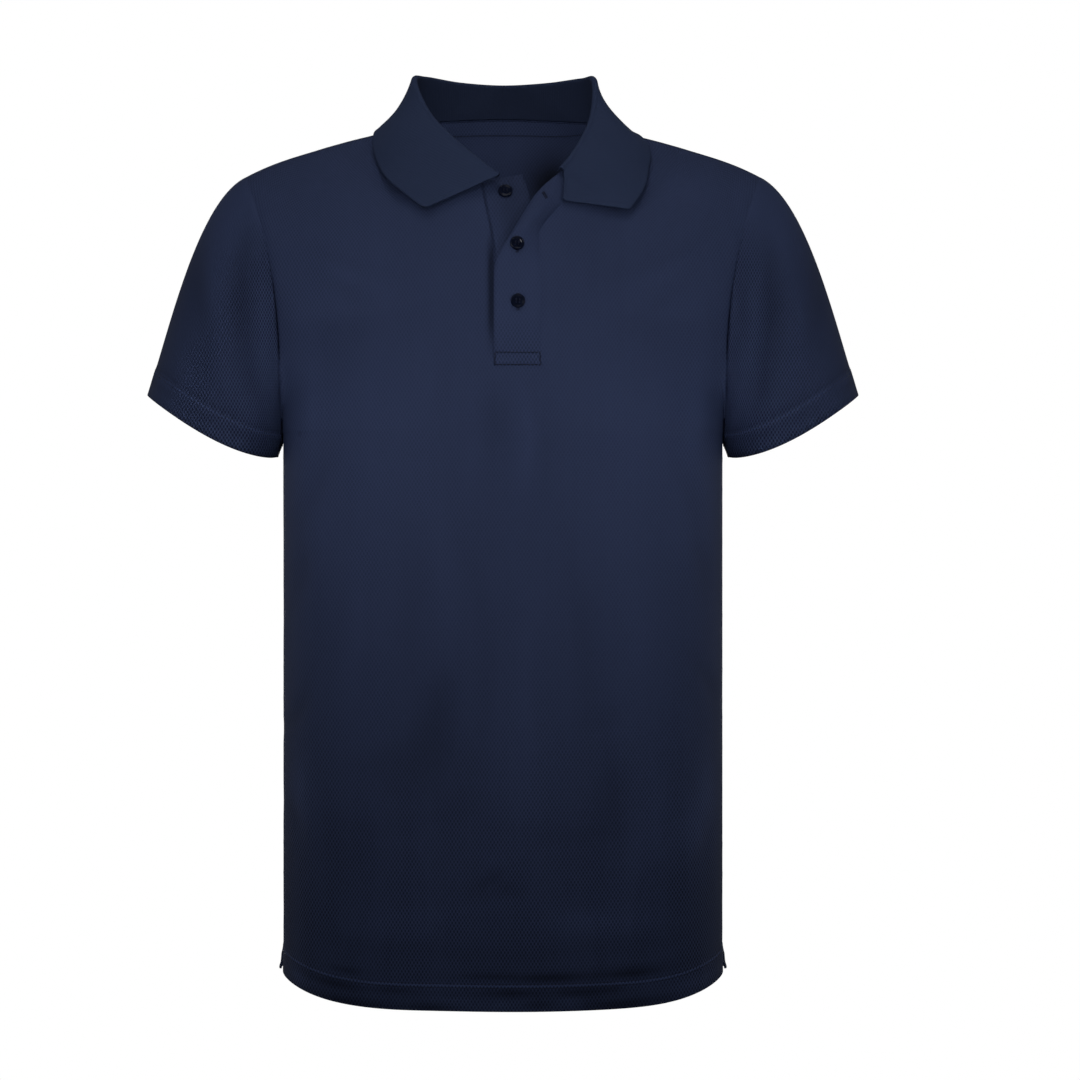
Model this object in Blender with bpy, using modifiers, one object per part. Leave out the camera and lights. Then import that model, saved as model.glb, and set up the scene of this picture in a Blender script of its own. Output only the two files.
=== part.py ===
"""A short-sleeved polo shirt, filled out as it is worn and hollow inside.

Metres, +Z up, the wearer faces -Y. The origin lies midway between the two
shoulder-neck points, where the shirt hangs on its wearer. Every piece of cloth
is a closed wall: an outer face lofted through sections, and an inner face one
cloth thickness behind it.
"""

import math

import bmesh
import bpy
import numpy as np
from mathutils import Matrix, Vector

# Cloth thicknesses, and the gaps that keep the pieces apart.
BODY_WALL = 0.0012
COLLAR_WALL = 0.0014
PLACKET_WALL = 0.0011
TAPE_WALL = 0.0010
SEAM_GAP = 0.0003
SEAT_GAP = 0.0004
TAPE_GAP = 0.0007
STRIP_GAP = 0.0008
NECK_GAP = 0.0010

# Torso: heights are above the shoulder-neck points, widths and depths are from the middle.
UNDERARM_Z = -0.245
SHOULDER_TIP_Z = -0.0320
HEM_CENTRE_Z = -0.7025
HEM_SIDE_Z = -0.6840
HEM_CORNER_POWER = 5.5
VENT_TOP_Z = -0.659
VENT_FLARE = 0.004
VENT_SPREAD_START = 0.75
BODY_HALF_WIDTH = 0.180
SHOULDER_HALF_WIDTH = 0.212
ARMHOLE_POWER = 3.0
SECTION_POWER = 0.75
OPEN_SECTION = 0.62
SHOULDER_Y = 0.010
SECTION_OPENS_BY = 0.6
BODY_MIDDLE = (0, 0, -0.30)
NORMAL_STEP = 0.0005
SHARP_EDGE = 40
ARMHOLE_FRONT_DEPTH = 0.060
ARMHOLE_BACK_DEPTH = 0.068
FRONT_ARCH = (2.0, 1.12)
BACK_ARCH = (2.0, 2.0)

# How fast the armhole's bottom fades into the panel: the share of the height, and the power there.
SEAM_FADE_SHARE = 0.4
SEAM_FADE_POWER = 5

# How far a seam's wall leans sideways, and between which turns round the armhole that dies out.
SEAM_LEAN = 3.0
SEAM_LEAN_TURNS = (math.radians(12), math.radians(55))

# Neckline.
NECK_HALF_WIDTH = 0.078
NECK_SIDE_Z = 0.0120
NECK_FRONT_Z = -0.0420
NAPE_Z = 0.0225
FRONT_NECKLINE_POWER = 0.75
BACK_NECKLINE_POWER = 1.3
NECK_MIDDLE_Y = 0.008
NECK_MIDDLE = (0, 0, -0.1)

# Placket slot in the front, and how far across the neckline the front's rows bend down to its foot.
SLOT_FOOT_Z = -0.1948
SLOT_BEND_LEFT = (-0.125, -0.030)
SLOT_BEND_RIGHT = (0.070, 0.140)
COLUMN_BLEND_START = 0.05

# Neck tape.
TAPE_WIDTH = 0.0145
TAPE_DROP = 0.0008

# Buttons.
BUTTON_RADIUS = 0.00575
BUTTON_THICKNESS = 0.0024
BUTTON_RIM = 0.0011
BUTTON_DISH = 0.0006
BUTTON_EDGE = 0.0006
BUTTON_STEPS = 24
BUTTON_HOLE_RADIUS = 0.00075
BUTTON_HOLE_SPACING = 0.0028
BUTTON_HOLE_STEPS = 10
DRILL_LENGTH = 0.0096
BUTTON_REACH = 0.0075
SEAT_SOFTENING = 0.0005

# How finely each piece is divided.
BODY_ROWS = (0, 0.025, 0.057, 0.13, 0.22, 0.32, 0.42, 0.52, 0.62, 0.72, 0.82, 0.91, 1)
ARMHOLE_ROWS = 12
SLOT_ROW = 4
LEFT_SHOULDER_COLUMNS = 5
LEFT_NECK_COLUMNS = 5
SLOT_COLUMNS = 3
RIGHT_NECK_COLUMNS = 4
RIGHT_SHOULDER_COLUMNS = 6
BACK_SHOULDER_COLUMNS = 5
BACK_NECK_COLUMNS = 12
SLEEVE_ROWS = 10
COLLAR_STATIONS = 40
STAND_ROWS = 3
ROLL_ROWS = 4
LEAF_ROWS = 6
STRIP_COLUMNS = 5
STRIP_ROWS = 16
TAPE_ROWS = 3

# Depth of the torso in front of and behind the side seams.
#                  height   front    back
TORSO_SECTIONS = (
    ("hem",        -0.703,  0.1180,  0.1220),
    ("hip",        -0.600,  0.1195,  0.1240),
    ("waist",      -0.450,  0.1190,  0.1200),
    ("ribs",       -0.330,  0.1205,  0.1250),
    ("underarm",   -0.245,  0.1220,  0.1290),
    ("top",         0.060,  0.1220,  0.1290),
)

# Height of the shoulder line. Inside the neck hole it only shapes the neckline.
#                  x        height
SHOULDER_LINE = (
    ("neck axis",  0.0000,  0.0500),
    ("in neck",    0.0400,  0.0415),
    ("neck wall",  0.0650,  0.0235),
    ("neck point", 0.0780,  0.0120),
    ("collar",     0.1045,  0.0022),
    ("middle",     0.1506, -0.0090),
    ("deltoid",    0.1980, -0.0252),
    ("tip",        0.2120, -0.0320),
)

# Soft folds: side is -1 for the front and 1 for the back, and a positive depth stands out.
#                       side   x       half width  height  half height  depth
FOLDS = (
    ("long left",       -1,   -0.098,  0.034,      -0.520, 0.190,       0.0030),
    ("beside it",       -1,   -0.050,  0.028,      -0.560, 0.170,      -0.0026),
    ("off centre",      -1,    0.022,  0.034,      -0.540, 0.190,       0.0022),
    ("long right",      -1,    0.088,  0.030,      -0.500, 0.200,      -0.0028),
    ("right edge",      -1,    0.128,  0.026,      -0.540, 0.150,       0.0026),
    ("left armpit",     -1,   -0.140,  0.024,      -0.270, 0.080,      -0.0024),
    ("right armpit",    -1,    0.140,  0.024,      -0.270, 0.080,      -0.0024),
    ("blade left",       1,   -0.090,  0.036,      -0.330, 0.180,       0.0030),
    ("blade right",      1,    0.085,  0.036,      -0.340, 0.170,       0.0030),
    ("back hollow",      1,    0.004,  0.036,      -0.420, 0.200,      -0.0036),
    ("back low left",    1,   -0.060,  0.028,      -0.580, 0.130,       0.0024),
    ("back low right",   1,    0.066,  0.030,      -0.600, 0.120,       0.0024),
)

# Sleeve lines from armhole to cuff: the turn is 0 at the underarm and 180 at the shoulder tip.
# Each leaves and arrives along a direction (out, along, down), with the handle lengths given.
#                  turn   leave out  along   down    handle   arrive out  down    handle
SLEEVE_LINES = (
    ("underarm",    0,    0.10,      0.00,  -0.99,   0.005,   0.26,      -0.96,   0.006),
    ("low",        45,    0.42,      0.10,  -0.90,   0.018,   0.36,      -0.93,   0.022),
    ("middle",     90,    0.72,      0.16,  -0.68,   0.030,   0.40,      -0.92,   0.050),
    ("high",      135,    0.88,      0.10,  -0.48,   0.038,   0.33,      -0.944,  0.070),
    ("tip",       180,    0.93,      0.00,  -0.37,   0.044,   0.30,      -0.954,  0.060),
)
CUFF_INNER = (0.1845, -0.2634)
CUFF_OUTER = (0.2922, -0.2123)
CUFF_HALF_DEPTH = 0.052
CUFF_MIDDLE_Y = 0.003
CUFF_DIP_POWER = 1.5
CUFF_FRONT_DIP = 0.0100
CUFF_BACK_DIP = 0.0040

# Collar stations. The turn goes round the neckline from -180 and 180 at the nape to 0 at the
# front; roll is the top of the fold, edge is the leaf's outer edge, and bulge lifts the leaf
# between them.
#                     turn    roll x    roll y    roll z    edge x    edge y    edge z    bulge
COLLAR_STATIONS_TABLE = (
    ("right end",      -7,   -0.0030,  -0.0680,  -0.0385,  -0.0617,  -0.0690,  -0.0664,  0.0030),
    ("right front",   -24,   -0.0185,  -0.0620,  -0.0262,  -0.0765,  -0.0562,  -0.0547,  0.0035),
    ("right turn",    -46,   -0.0429,  -0.0450,  -0.0039,  -0.0956,  -0.0380,  -0.0359,  0.0045),
    ("right rise",    -68,   -0.0610,  -0.0250,   0.0190,  -0.1046,  -0.0150,  -0.0125,  0.0050),
    ("right side",    -90,   -0.0735,   0.0040,   0.0480,  -0.1044,   0.0030,   0.0052, -0.0015),
    ("right blade",  -118,   -0.0640,   0.0340,   0.0540,  -0.0925,   0.0370,   0.0068,  0.0010),
    ("right back",   -148,   -0.0360,   0.0550,   0.0522,  -0.0560,   0.0730,   0.0060,  0.0030),
    ("nape",         -180,    0.0000,   0.0625,   0.0508,   0.0000,   0.0850,   0.0065,  0.0030),
    ("left back",    -212,    0.0370,   0.0550,   0.0518,   0.0590,   0.0730,   0.0055,  0.0030),
    ("left blade",   -242,    0.0650,   0.0330,   0.0525,   0.0970,   0.0370,   0.0060,  0.0000),
    ("left side",    -270,    0.0742,   0.0040,   0.0480,   0.1140,   0.0030,   0.0042, -0.0050),
    ("left rise",    -288,    0.0725,  -0.0150,   0.0180,   0.1185,  -0.0155,  -0.0160,  0.0050),
    ("left turn",    -303,    0.0645,  -0.0350,  -0.0040,   0.1151,  -0.0385,  -0.0400,  0.0055),
    ("left front",   -316,    0.0555,  -0.0485,  -0.0200,   0.1081,  -0.0497,  -0.0549,  0.0060),
    ("left end",     -326,    0.0465,  -0.0570,  -0.0320,   0.1005,  -0.0580,  -0.0655,  0.0070),
)
ROLL_RADIUS = 0.0021

# Upper placket strip, from its boxed foot to the neckline. The free edge is the wearer's right one.
# lift is how far each edge stands off the front, and roll swells the strip between them.
#                     free x    free z    sewn x    sewn z    free lift  sewn lift  roll
TOP_STRIP = (
    ("foot",         -0.0071,  -0.1945,   0.0299,  -0.1945,   0.0016,   0.0002,   0.0000),
    ("box top",      -0.0071,  -0.1838,   0.0299,  -0.1838,   0.0017,   0.0002,   0.0000),
    ("third button", -0.0071,  -0.1429,   0.0299,  -0.1429,   0.0019,   0.0002,   0.0004),
    ("lying",        -0.0070,  -0.1291,   0.0299,  -0.1270,   0.0022,   0.0002,   0.0008),
    ("turning",      -0.0063,  -0.1145,   0.0291,  -0.1110,   0.0030,   0.0002,   0.0018),
    ("second button", 0.0000,  -0.0996,   0.0283,  -0.0960,   0.0034,   0.0002,   0.0034),
    ("rolling",       0.0071,  -0.0870,   0.0302,  -0.0823,   0.0032,   0.0002,   0.0042),
    ("slanting",      0.0224,  -0.0603,   0.0407,  -0.0691,   0.0024,   0.0002,   0.0038),
    ("first hole",    0.0321,  -0.0477,   0.0496,  -0.0588,   0.0016,   0.0002,   0.0020),
    ("neckline",      0.0440,  -0.0362,   0.0600,  -0.0285,   0.0004,   0.0002,   0.0000),
)

# Under placket strip, from its foot to the neckline. Its sewn edge is the wearer's right one.
#                     sewn x    sewn z    free x    free z    sewn lift  free lift
UNDER_STRIP = (
    ("foot",         -0.0071,  -0.1900,   0.0280,  -0.1900,   0.0000,  -0.0018),
    ("third button", -0.0071,  -0.1429,   0.0285,  -0.1429,   0.0000,  -0.0018),
    ("second button",-0.0079,  -0.1006,   0.0270,  -0.1000,   0.0000,  -0.0018),
    ("first button", -0.0150,  -0.0600,   0.0222,  -0.0600,   0.0000,  -0.0010),
    ("neckline",     -0.0184,  -0.0435,   0.0160,  -0.0373,   0.0000,   0.0000),
)

# Buttons: centre on the front, and which strip carries it.
#                  x         z        strip
BUTTONS = (
    ("button_top",     0.0019,  -0.0520, "under"),
    ("button_middle",  0.0113,  -0.0962, "top"),
    ("button_bottom",  0.0118,  -0.1429, "top"),
)

# Surface finishes: colour (linear), roughness.
NAVY_MESH = ((0.020, 0.025, 0.052, 1), 0.85)
NAVY_RIB = ((0.021, 0.026, 0.055, 1), 0.80)
NAVY_BUTTON = ((0.006, 0.008, 0.018, 1), 0.18)


# ---------------------------------------------------------------- small helpers

def column(rows, index):
    """One named column of a table as an array."""
    return np.array([row[index] for row in rows], float)


def smooth_step(low, high, value):
    share = np.clip((np.asarray(value, float) - low) / (high - low), 0, 1)
    return share * share * (3 - 2 * share)


def spline(knots, values, at):
    """A smooth curve through the table's values, held at its ends."""
    order = np.argsort(knots)
    knots = np.asarray(knots, float)[order]
    values = np.asarray(values, float)[order]
    at = np.clip(np.asarray(at, float), knots[0], knots[-1])
    steps = np.diff(knots)
    slopes = np.diff(values) / steps
    tangents = np.empty_like(values)
    tangents[0] = slopes[0]
    tangents[-1] = slopes[-1]
    tangents[1:-1] = (slopes[:-1] * steps[1:] + slopes[1:] * steps[:-1]) / (steps[:-1] + steps[1:])
    cell = np.clip(np.searchsorted(knots, at, side="right") - 1, 0, len(steps) - 1)
    step = steps[cell]
    share = (at - knots[cell]) / step
    square = share * share
    cube = square * share
    return (
        (2 * cube - 3 * square + 1) * values[cell]
        + (cube - 2 * square + share) * step * tangents[cell]
        + (3 * square - 2 * cube) * values[cell + 1]
        + (cube - square) * step * tangents[cell + 1]
    )


def unit(vectors):
    vectors = np.asarray(vectors, float)
    return vectors / np.linalg.norm(vectors, axis=-1, keepdims=True)


def stack(x, y, z):
    return np.stack(np.broadcast_arrays(x, y, z), axis=-1).astype(float)


# ---------------------------------------------------------------- the torso's form

def half_width(z):
    rise = np.clip((z - UNDERARM_Z) / (SHOULDER_TIP_Z - UNDERARM_Z), 0, 1)
    return BODY_HALF_WIDTH + (SHOULDER_HALF_WIDTH - BODY_HALF_WIDTH) * rise ** ARMHOLE_POWER


def section_arc(z):
    """Share of a full half-oval that a section spans: all of it under the arms, less above."""
    rise = (z - UNDERARM_Z) / (SHOULDER_TIP_Z - UNDERARM_Z)
    return (1 - (1 - OPEN_SECTION) * smooth_step(0, SECTION_OPENS_BY, rise)) * math.pi / 2


def shoulder_height(x):
    return spline(column(SHOULDER_LINE, 1), column(SHOULDER_LINE, 2), np.abs(x))


def fold_relief(side, x, z):
    """How far the soft folds move the cloth outwards."""
    relief = np.zeros(np.broadcast(x, z).shape)
    for _, fold_side, middle, half, height, half_height, depth in FOLDS:
        if fold_side == side:
            across = np.exp(-(((x - middle) / half) ** 2))
            along = np.exp(-(((z - height) / half_height) ** 2))
            relief = relief + depth * across * along
    return relief


def torso(side, w, z):
    """The torso's outer face: side -1 front, 1 back; w -1 to 1 from seam to seam; z the height."""
    w = np.asarray(w, float)
    z = np.asarray(z, float)
    arc = section_arc(z)
    x = half_width(z) * np.sin(w * arc) / np.sin(arc)
    share = np.clip((z - UNDERARM_Z) / (shoulder_height(x) - UNDERARM_Z), 0, 1)
    power, root = FRONT_ARCH if side < 0 else BACK_ARCH
    depth = spline(column(TORSO_SECTIONS, 1), column(TORSO_SECTIONS, 2 if side < 0 else 3), z)
    armhole = ARMHOLE_FRONT_DEPTH if side < 0 else ARMHOLE_BACK_DEPTH
    arch = (1 - share ** power) ** (1 / root)
    end = np.cos(arc) ** SECTION_POWER
    crown = (np.maximum(np.cos(w * arc), 0) ** SECTION_POWER - end) / (1 - end)
    edge = armhole * np.sqrt(4 * share * (1 - share))
    fade = SEAM_FADE_POWER + (1 - SEAM_FADE_POWER) * smooth_step(0, SEAM_FADE_SHARE, share)
    near_seam = (1 - crown) ** fade
    relief = fold_relief(side, x, z) * crown
    y = SHOULDER_Y * share + side * (depth * arch * crown + edge * near_seam + relief)
    return stack(x, y, z)


def across(x, z):
    """The w at which the torso's section at height z passes x."""
    arc = section_arc(z)
    return np.arcsin(np.clip(x / half_width(z) * np.sin(arc), -1, 1)) / arc


def on_torso(side, x, z, lift=0.0):
    """The torso's face at x and z, moved out by lift along its normal."""
    step = NORMAL_STEP
    point = torso(side, across(x, z), z)
    aside = torso(side, across(x + step, z), z) - point
    below = point - torso(side, across(x, z - step), z - step)
    normal = unit(np.cross(aside, below)) * -side
    return point + normal * np.asarray(lift)[..., None], normal


def hem_height(x):
    return HEM_CENTRE_Z + (HEM_SIDE_Z - HEM_CENTRE_Z) * (np.abs(x) / BODY_HALF_WIDTH) ** HEM_CORNER_POWER


def neckline(side, angle):
    """x and z of the neckline, at an angle from the middle (0) to the neck point (90 degrees)."""
    power, middle = (FRONT_NECKLINE_POWER, NECK_FRONT_Z) if side < 0 else (BACK_NECKLINE_POWER, NAPE_Z)
    fall = np.maximum(np.cos(angle), 0) ** power
    return NECK_HALF_WIDTH * np.sin(angle), NECK_SIDE_Z + (middle - NECK_SIDE_Z) * fall


def armhole_shares():
    """Heights of the armhole's rows, as shares from underarm to shoulder tip."""
    return (1 - np.cos(np.linspace(0, math.pi, ARMHOLE_ROWS + 1))) / 2


# ---------------------------------------------------------------- walls from grids

def grid_normals(grid, outward_from, closed=False):
    """Unit normals of a grid of points, pointing away from a point inside it."""
    if closed:
        wrapped = np.concatenate([grid[-1:], grid, grid[:1]])
        along = (wrapped[2:] - wrapped[:-2]) / 2
    else:
        along = np.gradient(grid, axis=0)
    normals = unit(np.cross(along, np.gradient(grid, axis=1)))
    facing = np.sum(normals * (grid - np.asarray(outward_from)), axis=-1).mean()
    return normals if facing > 0 else -normals


def wall_mesh(name, outer, inner, keep=None, closed=False):
    """A closed wall between two grids of points; keep marks the cells that have cloth."""
    count, depth = outer.shape[:2]
    cells = count if closed else count - 1
    if keep is None:
        keep = np.ones((cells, depth - 1), bool)
    faces = []
    edges = {}
    half = count * depth

    def index(i, j):
        return (i % count) * depth + j

    for i in range(cells):
        for j in range(depth - 1):
            if keep[i, j]:
                ring = [index(i, j), index(i + 1, j), index(i + 1, j + 1), index(i, j + 1)]
                faces.append(ring)
                faces.append([half + corner for corner in reversed(ring)])
                for start, end in zip(ring, ring[1:] + ring[:1]):
                    edges[(start, end)] = edges.get((start, end), 0) + 1
    for start, end in edges:
        if (end, start) not in edges:
            faces.append([end, start, half + start, half + end])
    points = np.concatenate([outer.reshape(-1, 3), inner.reshape(-1, 3)])
    mesh = bpy.data.meshes.new(name)
    mesh.from_pydata([tuple(map(float, point)) for point in points], [], faces)
    shape = bmesh.new()
    shape.from_mesh(mesh)
    loose = [vertex for vertex in shape.verts if not vertex.link_faces]
    bmesh.ops.delete(shape, geom=loose, context="VERTS")
    if shape.calc_volume(signed=True) < 0:
        bmesh.ops.reverse_faces(shape, faces=shape.faces)
    shape.to_mesh(mesh)
    shape.free()
    mesh.shade_smooth()
    mesh.set_sharp_from_angle(angle=math.radians(SHARP_EDGE))
    return mesh


def add_object(mesh, finish, collection):
    colour, roughness = finish
    material = bpy.data.materials.new(mesh.name + "_finish")
    material.use_nodes = True
    shader = material.node_tree.nodes["Principled BSDF"]
    shader.inputs["Base Color"].default_value = colour
    shader.inputs["Roughness"].default_value = roughness
    shader.inputs["Metallic"].default_value = 0
    mesh.materials.append(material)
    made = bpy.data.objects.new(mesh.name, mesh)
    collection.objects.link(made)
    return made


# ---------------------------------------------------------------- front and back

def armhole_lean(turn):
    """How far a seam's wall leans sideways: not at all round the armhole, fully at its foot."""
    return SEAM_LEAN * (1 - smooth_step(*SEAM_LEAN_TURNS, turn))


def armhole_normal(side, turn, lean_sign):
    """Wall direction at the wearer's left armhole seam, for the body (1) or the sleeve (-1)."""
    out = stack(lean_sign * armhole_lean(turn), side * np.sin(turn), -np.cos(turn))
    return unit(out)


def seam_walls(points, side, closed_edges):
    """Outer and inner grids of a body panel, with its seams kept SEAM_GAP from their mates."""
    normals = grid_normals(points, BODY_MIDDLE)
    body_rows = len(BODY_ROWS)
    turn = np.linspace(0, math.pi, ARMHOLE_ROWS + 1)
    for edge, sign in ((0, -1), (-1, 1)):
        normals[edge, :body_rows] = (sign, 0, 0)
        points[edge, :body_rows, 1] += side * SEAM_GAP / 2
        seam = armhole_normal(side, turn[1:], 1)
        seam[:, 0] *= sign
        normals[edge, body_rows:] = seam
        points[edge, body_rows:, 0] -= sign * SEAM_GAP / 2
    for start, stop in closed_edges:
        line = points[start:stop, -1]
        slope = np.gradient(line[:, 2]) / np.gradient(line[:, 0])
        normals[start:stop, -1] = unit(stack(-slope, 0 * slope, 1 + 0 * slope))
        points[start:stop, -1, 1] += side * SEAM_GAP / 2
    return points, points - normals * BODY_WALL


def top_edge(side, left_columns, right_columns, slot=None):
    """x and z of a panel's top boundary: shoulder, neckline, neckline, shoulder."""
    shoulder_l, neck_l = left_columns
    neck_r, shoulder_r = right_columns
    left = -np.linspace(SHOULDER_HALF_WIDTH, NECK_HALF_WIDTH, shoulder_l + 1)
    right = np.linspace(NECK_HALF_WIDTH, SHOULDER_HALF_WIDTH, shoulder_r + 1)
    low_l = math.asin(-slot[0] / NECK_HALF_WIDTH) if slot else 0
    low_r = math.asin(slot[1] / NECK_HALF_WIDTH) if slot else 0
    x_l, z_l = neckline(side, np.linspace(math.pi / 2, low_l, neck_l + 1))
    x_r, z_r = neckline(side, np.linspace(low_r, math.pi / 2, neck_r + 1))
    first = (np.concatenate([left, -x_l[1:]]), np.concatenate([shoulder_height(left), z_l[1:]]))
    second = (np.concatenate([x_r[:-1], right]), np.concatenate([z_r[:-1], shoulder_height(right)]))
    return first, second


def lower_rows(w, side, flare):
    """The rows from hem to underarm, for columns at w."""
    x = torso(side, w, np.full_like(w, HEM_CENTRE_Z))[:, 0]
    rows = []
    for share in BODY_ROWS:
        z = hem_height(x) + (UNDERARM_Z - hem_height(x)) * share
        row = torso(side, w, z)
        open_part = np.clip((VENT_TOP_Z - z) / (VENT_TOP_Z - HEM_SIDE_Z), 0, 1)
        row[:, 0] += np.sign(w) * flare * open_part * smooth_step(VENT_SPREAD_START, 1, np.abs(w))
        rows.append(row)
    return rows


def slot_left(z):
    return spline(column(UNDER_STRIP, 2), column(UNDER_STRIP, 1), z) - STRIP_GAP / 2


def slot_right(z):
    return spline(column(TOP_STRIP, 4), column(TOP_STRIP, 3), z) + STRIP_GAP / 2


def front_points():
    """Grid of the front's outer face, and which cells have cloth: the placket's slot has none."""
    slot = (float(slot_left(0)), float(slot_right(0)))
    first, second = top_edge(
        -1,
        (LEFT_SHOULDER_COLUMNS, LEFT_NECK_COLUMNS),
        (RIGHT_NECK_COLUMNS, RIGHT_SHOULDER_COLUMNS),
        slot,
    )
    left_count = len(first[0])
    right_count = len(second[0])
    foot = np.full(1, SLOT_FOOT_Z)
    low_left = float(across(slot_left(foot), foot)[0])
    low_right = float(across(slot_right(foot), foot)[0])
    w_left = np.linspace(-1, low_left, left_count)
    w_slot = np.linspace(low_left, low_right, SLOT_COLUMNS + 1)[1:-1]
    w_right = np.linspace(low_right, 1, right_count)
    rows = lower_rows(np.concatenate([w_left, w_slot, w_right]), -1, 0)
    shares = armhole_shares()
    foot_share = shares[SLOT_ROW]
    top_z = np.concatenate([
        first[1],
        np.linspace(first[1][-1], second[1][0], SLOT_COLUMNS + 1)[1:-1],
        second[1],
    ])
    near_left = smooth_step(*SLOT_BEND_LEFT, first[0])
    near_right = 1 - smooth_step(*SLOT_BEND_RIGHT, second[0])
    near = np.concatenate([near_left, np.ones(SLOT_COLUMNS - 1), near_right])
    near[left_count - 1:left_count + SLOT_COLUMNS] = 1
    plain = UNDERARM_Z + (top_z - UNDERARM_Z) * foot_share
    foot_z = plain + (SLOT_FOOT_Z - plain) * near
    for step in range(1, ARMHOLE_ROWS + 1):
        share = shares[step]
        if step <= SLOT_ROW:
            z = UNDERARM_Z + (foot_z - UNDERARM_Z) * share / foot_share
        else:
            z = foot_z + (top_z - foot_z) * (share - foot_share) / (1 - foot_share)
        blend = smooth_step(COLUMN_BLEND_START, 1, share)
        z_left = z[left_count - 1]
        z_right = z[left_count + SLOT_COLUMNS - 1]
        in_slot = step > SLOT_ROW
        x_left = slot_left(z_left) if in_slot else slot_left(SLOT_FOOT_Z)
        x_right = slot_right(z_right) if in_slot else slot_right(SLOT_FOOT_Z)
        w_of_left = float(across(x_left, z_left))
        w_of_right = float(across(x_right, z_right))
        top_l = across(first[0], first[1])
        top_r = across(second[0], second[1])
        even_l = np.linspace(0, 1, left_count)
        even_r = np.linspace(0, 1, right_count)
        top_share_l = (top_l + 1) / (top_l[-1] + 1)
        top_share_r = (top_r - top_r[0]) / (1 - top_r[0])
        share_l = even_l + (top_share_l - even_l) * blend
        share_r = even_r + (top_share_r - even_r) * blend
        w = np.concatenate([
            -1 + (w_of_left + 1) * share_l,
            np.linspace(w_of_left, w_of_right, SLOT_COLUMNS + 1)[1:-1],
            w_of_right + (1 - w_of_right) * share_r,
        ])
        rows.append(torso(-1, w, z))
    points = np.stack(rows, axis=1)
    keep = np.ones((points.shape[0] - 1, points.shape[1] - 1), bool)
    slot_cells = slice(left_count - 1, left_count - 1 + SLOT_COLUMNS)
    keep[slot_cells, len(BODY_ROWS) - 1 + SLOT_ROW:] = False
    return points, keep


def make_front(collection):
    points, keep = front_points()
    shoulders = ((0, LEFT_SHOULDER_COLUMNS + 1), (-RIGHT_SHOULDER_COLUMNS - 1, None))
    outer, inner = seam_walls(points, -1, shoulders)
    return add_object(wall_mesh("front", outer, inner, keep), NAVY_MESH, collection)


def back_points():
    first, second = top_edge(
        1,
        (BACK_SHOULDER_COLUMNS, BACK_NECK_COLUMNS // 2),
        (BACK_NECK_COLUMNS // 2, BACK_SHOULDER_COLUMNS),
    )
    top_x = np.concatenate([first[0], second[0][1:]])
    top_z = np.concatenate([first[1], second[1][1:]])
    even = np.linspace(-1, 1, len(top_x))
    top_w = across(top_x, top_z)
    rows = lower_rows(even, 1, VENT_FLARE)
    for share in armhole_shares()[1:]:
        w = even + (top_w - even) * smooth_step(COLUMN_BLEND_START, 1, share)
        rows.append(torso(1, w, UNDERARM_Z + (top_z - UNDERARM_Z) * share))
    return np.stack(rows, axis=1)


def make_back(collection):
    """The back; its inner face is returned too, because the neck tape lies on it."""
    shoulders = ((0, BACK_SHOULDER_COLUMNS + 1), (-BACK_SHOULDER_COLUMNS - 1, None))
    outer, inner = seam_walls(back_points(), 1, shoulders)
    add_object(wall_mesh("back", outer, inner), NAVY_MESH, collection)
    return inner


# ---------------------------------------------------------------- sleeves

def armhole_ring():
    """The wearer's left armhole: turn round it, which side each point is on, and the points."""
    turn = np.linspace(0, math.pi, ARMHOLE_ROWS + 1)
    shares = armhole_shares()
    z = UNDERARM_Z + (SHOULDER_TIP_Z - UNDERARM_Z) * shares
    front = torso(-1, np.ones_like(z), z)
    back = torso(1, np.ones_like(z), z)
    turns = np.concatenate([turn, turn[-2:0:-1]])
    sides = np.concatenate([-np.ones(len(turn)), np.ones(len(turn) - 2)])
    return turns, sides, np.concatenate([front, back[-2:0:-1]])


def cuff_ring(turns, sides):
    inner = np.array([CUFF_INNER[0], CUFF_MIDDLE_Y, CUFF_INNER[1]])
    outer = np.array([CUFF_OUTER[0], CUFF_MIDDLE_Y, CUFF_OUTER[1]])
    across_cuff = (outer - inner) / 2
    down = unit(np.array([across_cuff[2], 0, -across_cuff[0]]))
    dip = np.where(sides < 0, CUFF_FRONT_DIP, CUFF_BACK_DIP) * np.sin(turns) ** CUFF_DIP_POWER
    middle = (inner + outer) / 2
    ring = middle - np.cos(turns)[:, None] * across_cuff + dip[:, None] * down
    ring[:, 1] += sides * CUFF_HALF_DEPTH * np.sin(turns)
    return ring


def sleeve_points():
    """Grid of the wearer's left sleeve: round the armhole, then along to the cuff."""
    turns, sides, start = armhole_ring()
    start = start.copy()
    start[:, 0] += SEAM_GAP
    end = cuff_ring(turns, sides)
    angles = np.radians(column(SLEEVE_LINES, 1))
    read = [spline(angles, column(SLEEVE_LINES, index), turns) for index in range(2, 8)]
    leave = unit(stack(read[0], sides * read[1], read[2])) * read[3][:, None]
    arrive_dir = unit(stack(read[4], 0 * turns, read[5]))
    arrive = arrive_dir * spline(angles, column(SLEEVE_LINES, 8), turns)[:, None]
    rows = []
    for share in np.linspace(0, 1, SLEEVE_ROWS + 1):
        rest = 1 - share
        rows.append(
            rest ** 3 * start
            + 3 * rest * rest * share * (start + leave)
            + 3 * rest * share * share * (end - arrive)
            + share ** 3 * end
        )
    return turns, sides, np.stack(rows, axis=1)


def make_sleeve(name, sign, collection):
    turns, sides, points = sleeve_points()
    middle = points.mean(axis=(0, 1))
    normals = grid_normals(points, middle, closed=True)
    normals[:, 0] = armhole_normal(sides, turns, -1)
    inner = points - normals * BODY_WALL
    mirror = np.array([sign, 1, 1])
    return add_object(wall_mesh(name, points * mirror, inner * mirror, closed=True), NAVY_MESH, collection)


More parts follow.
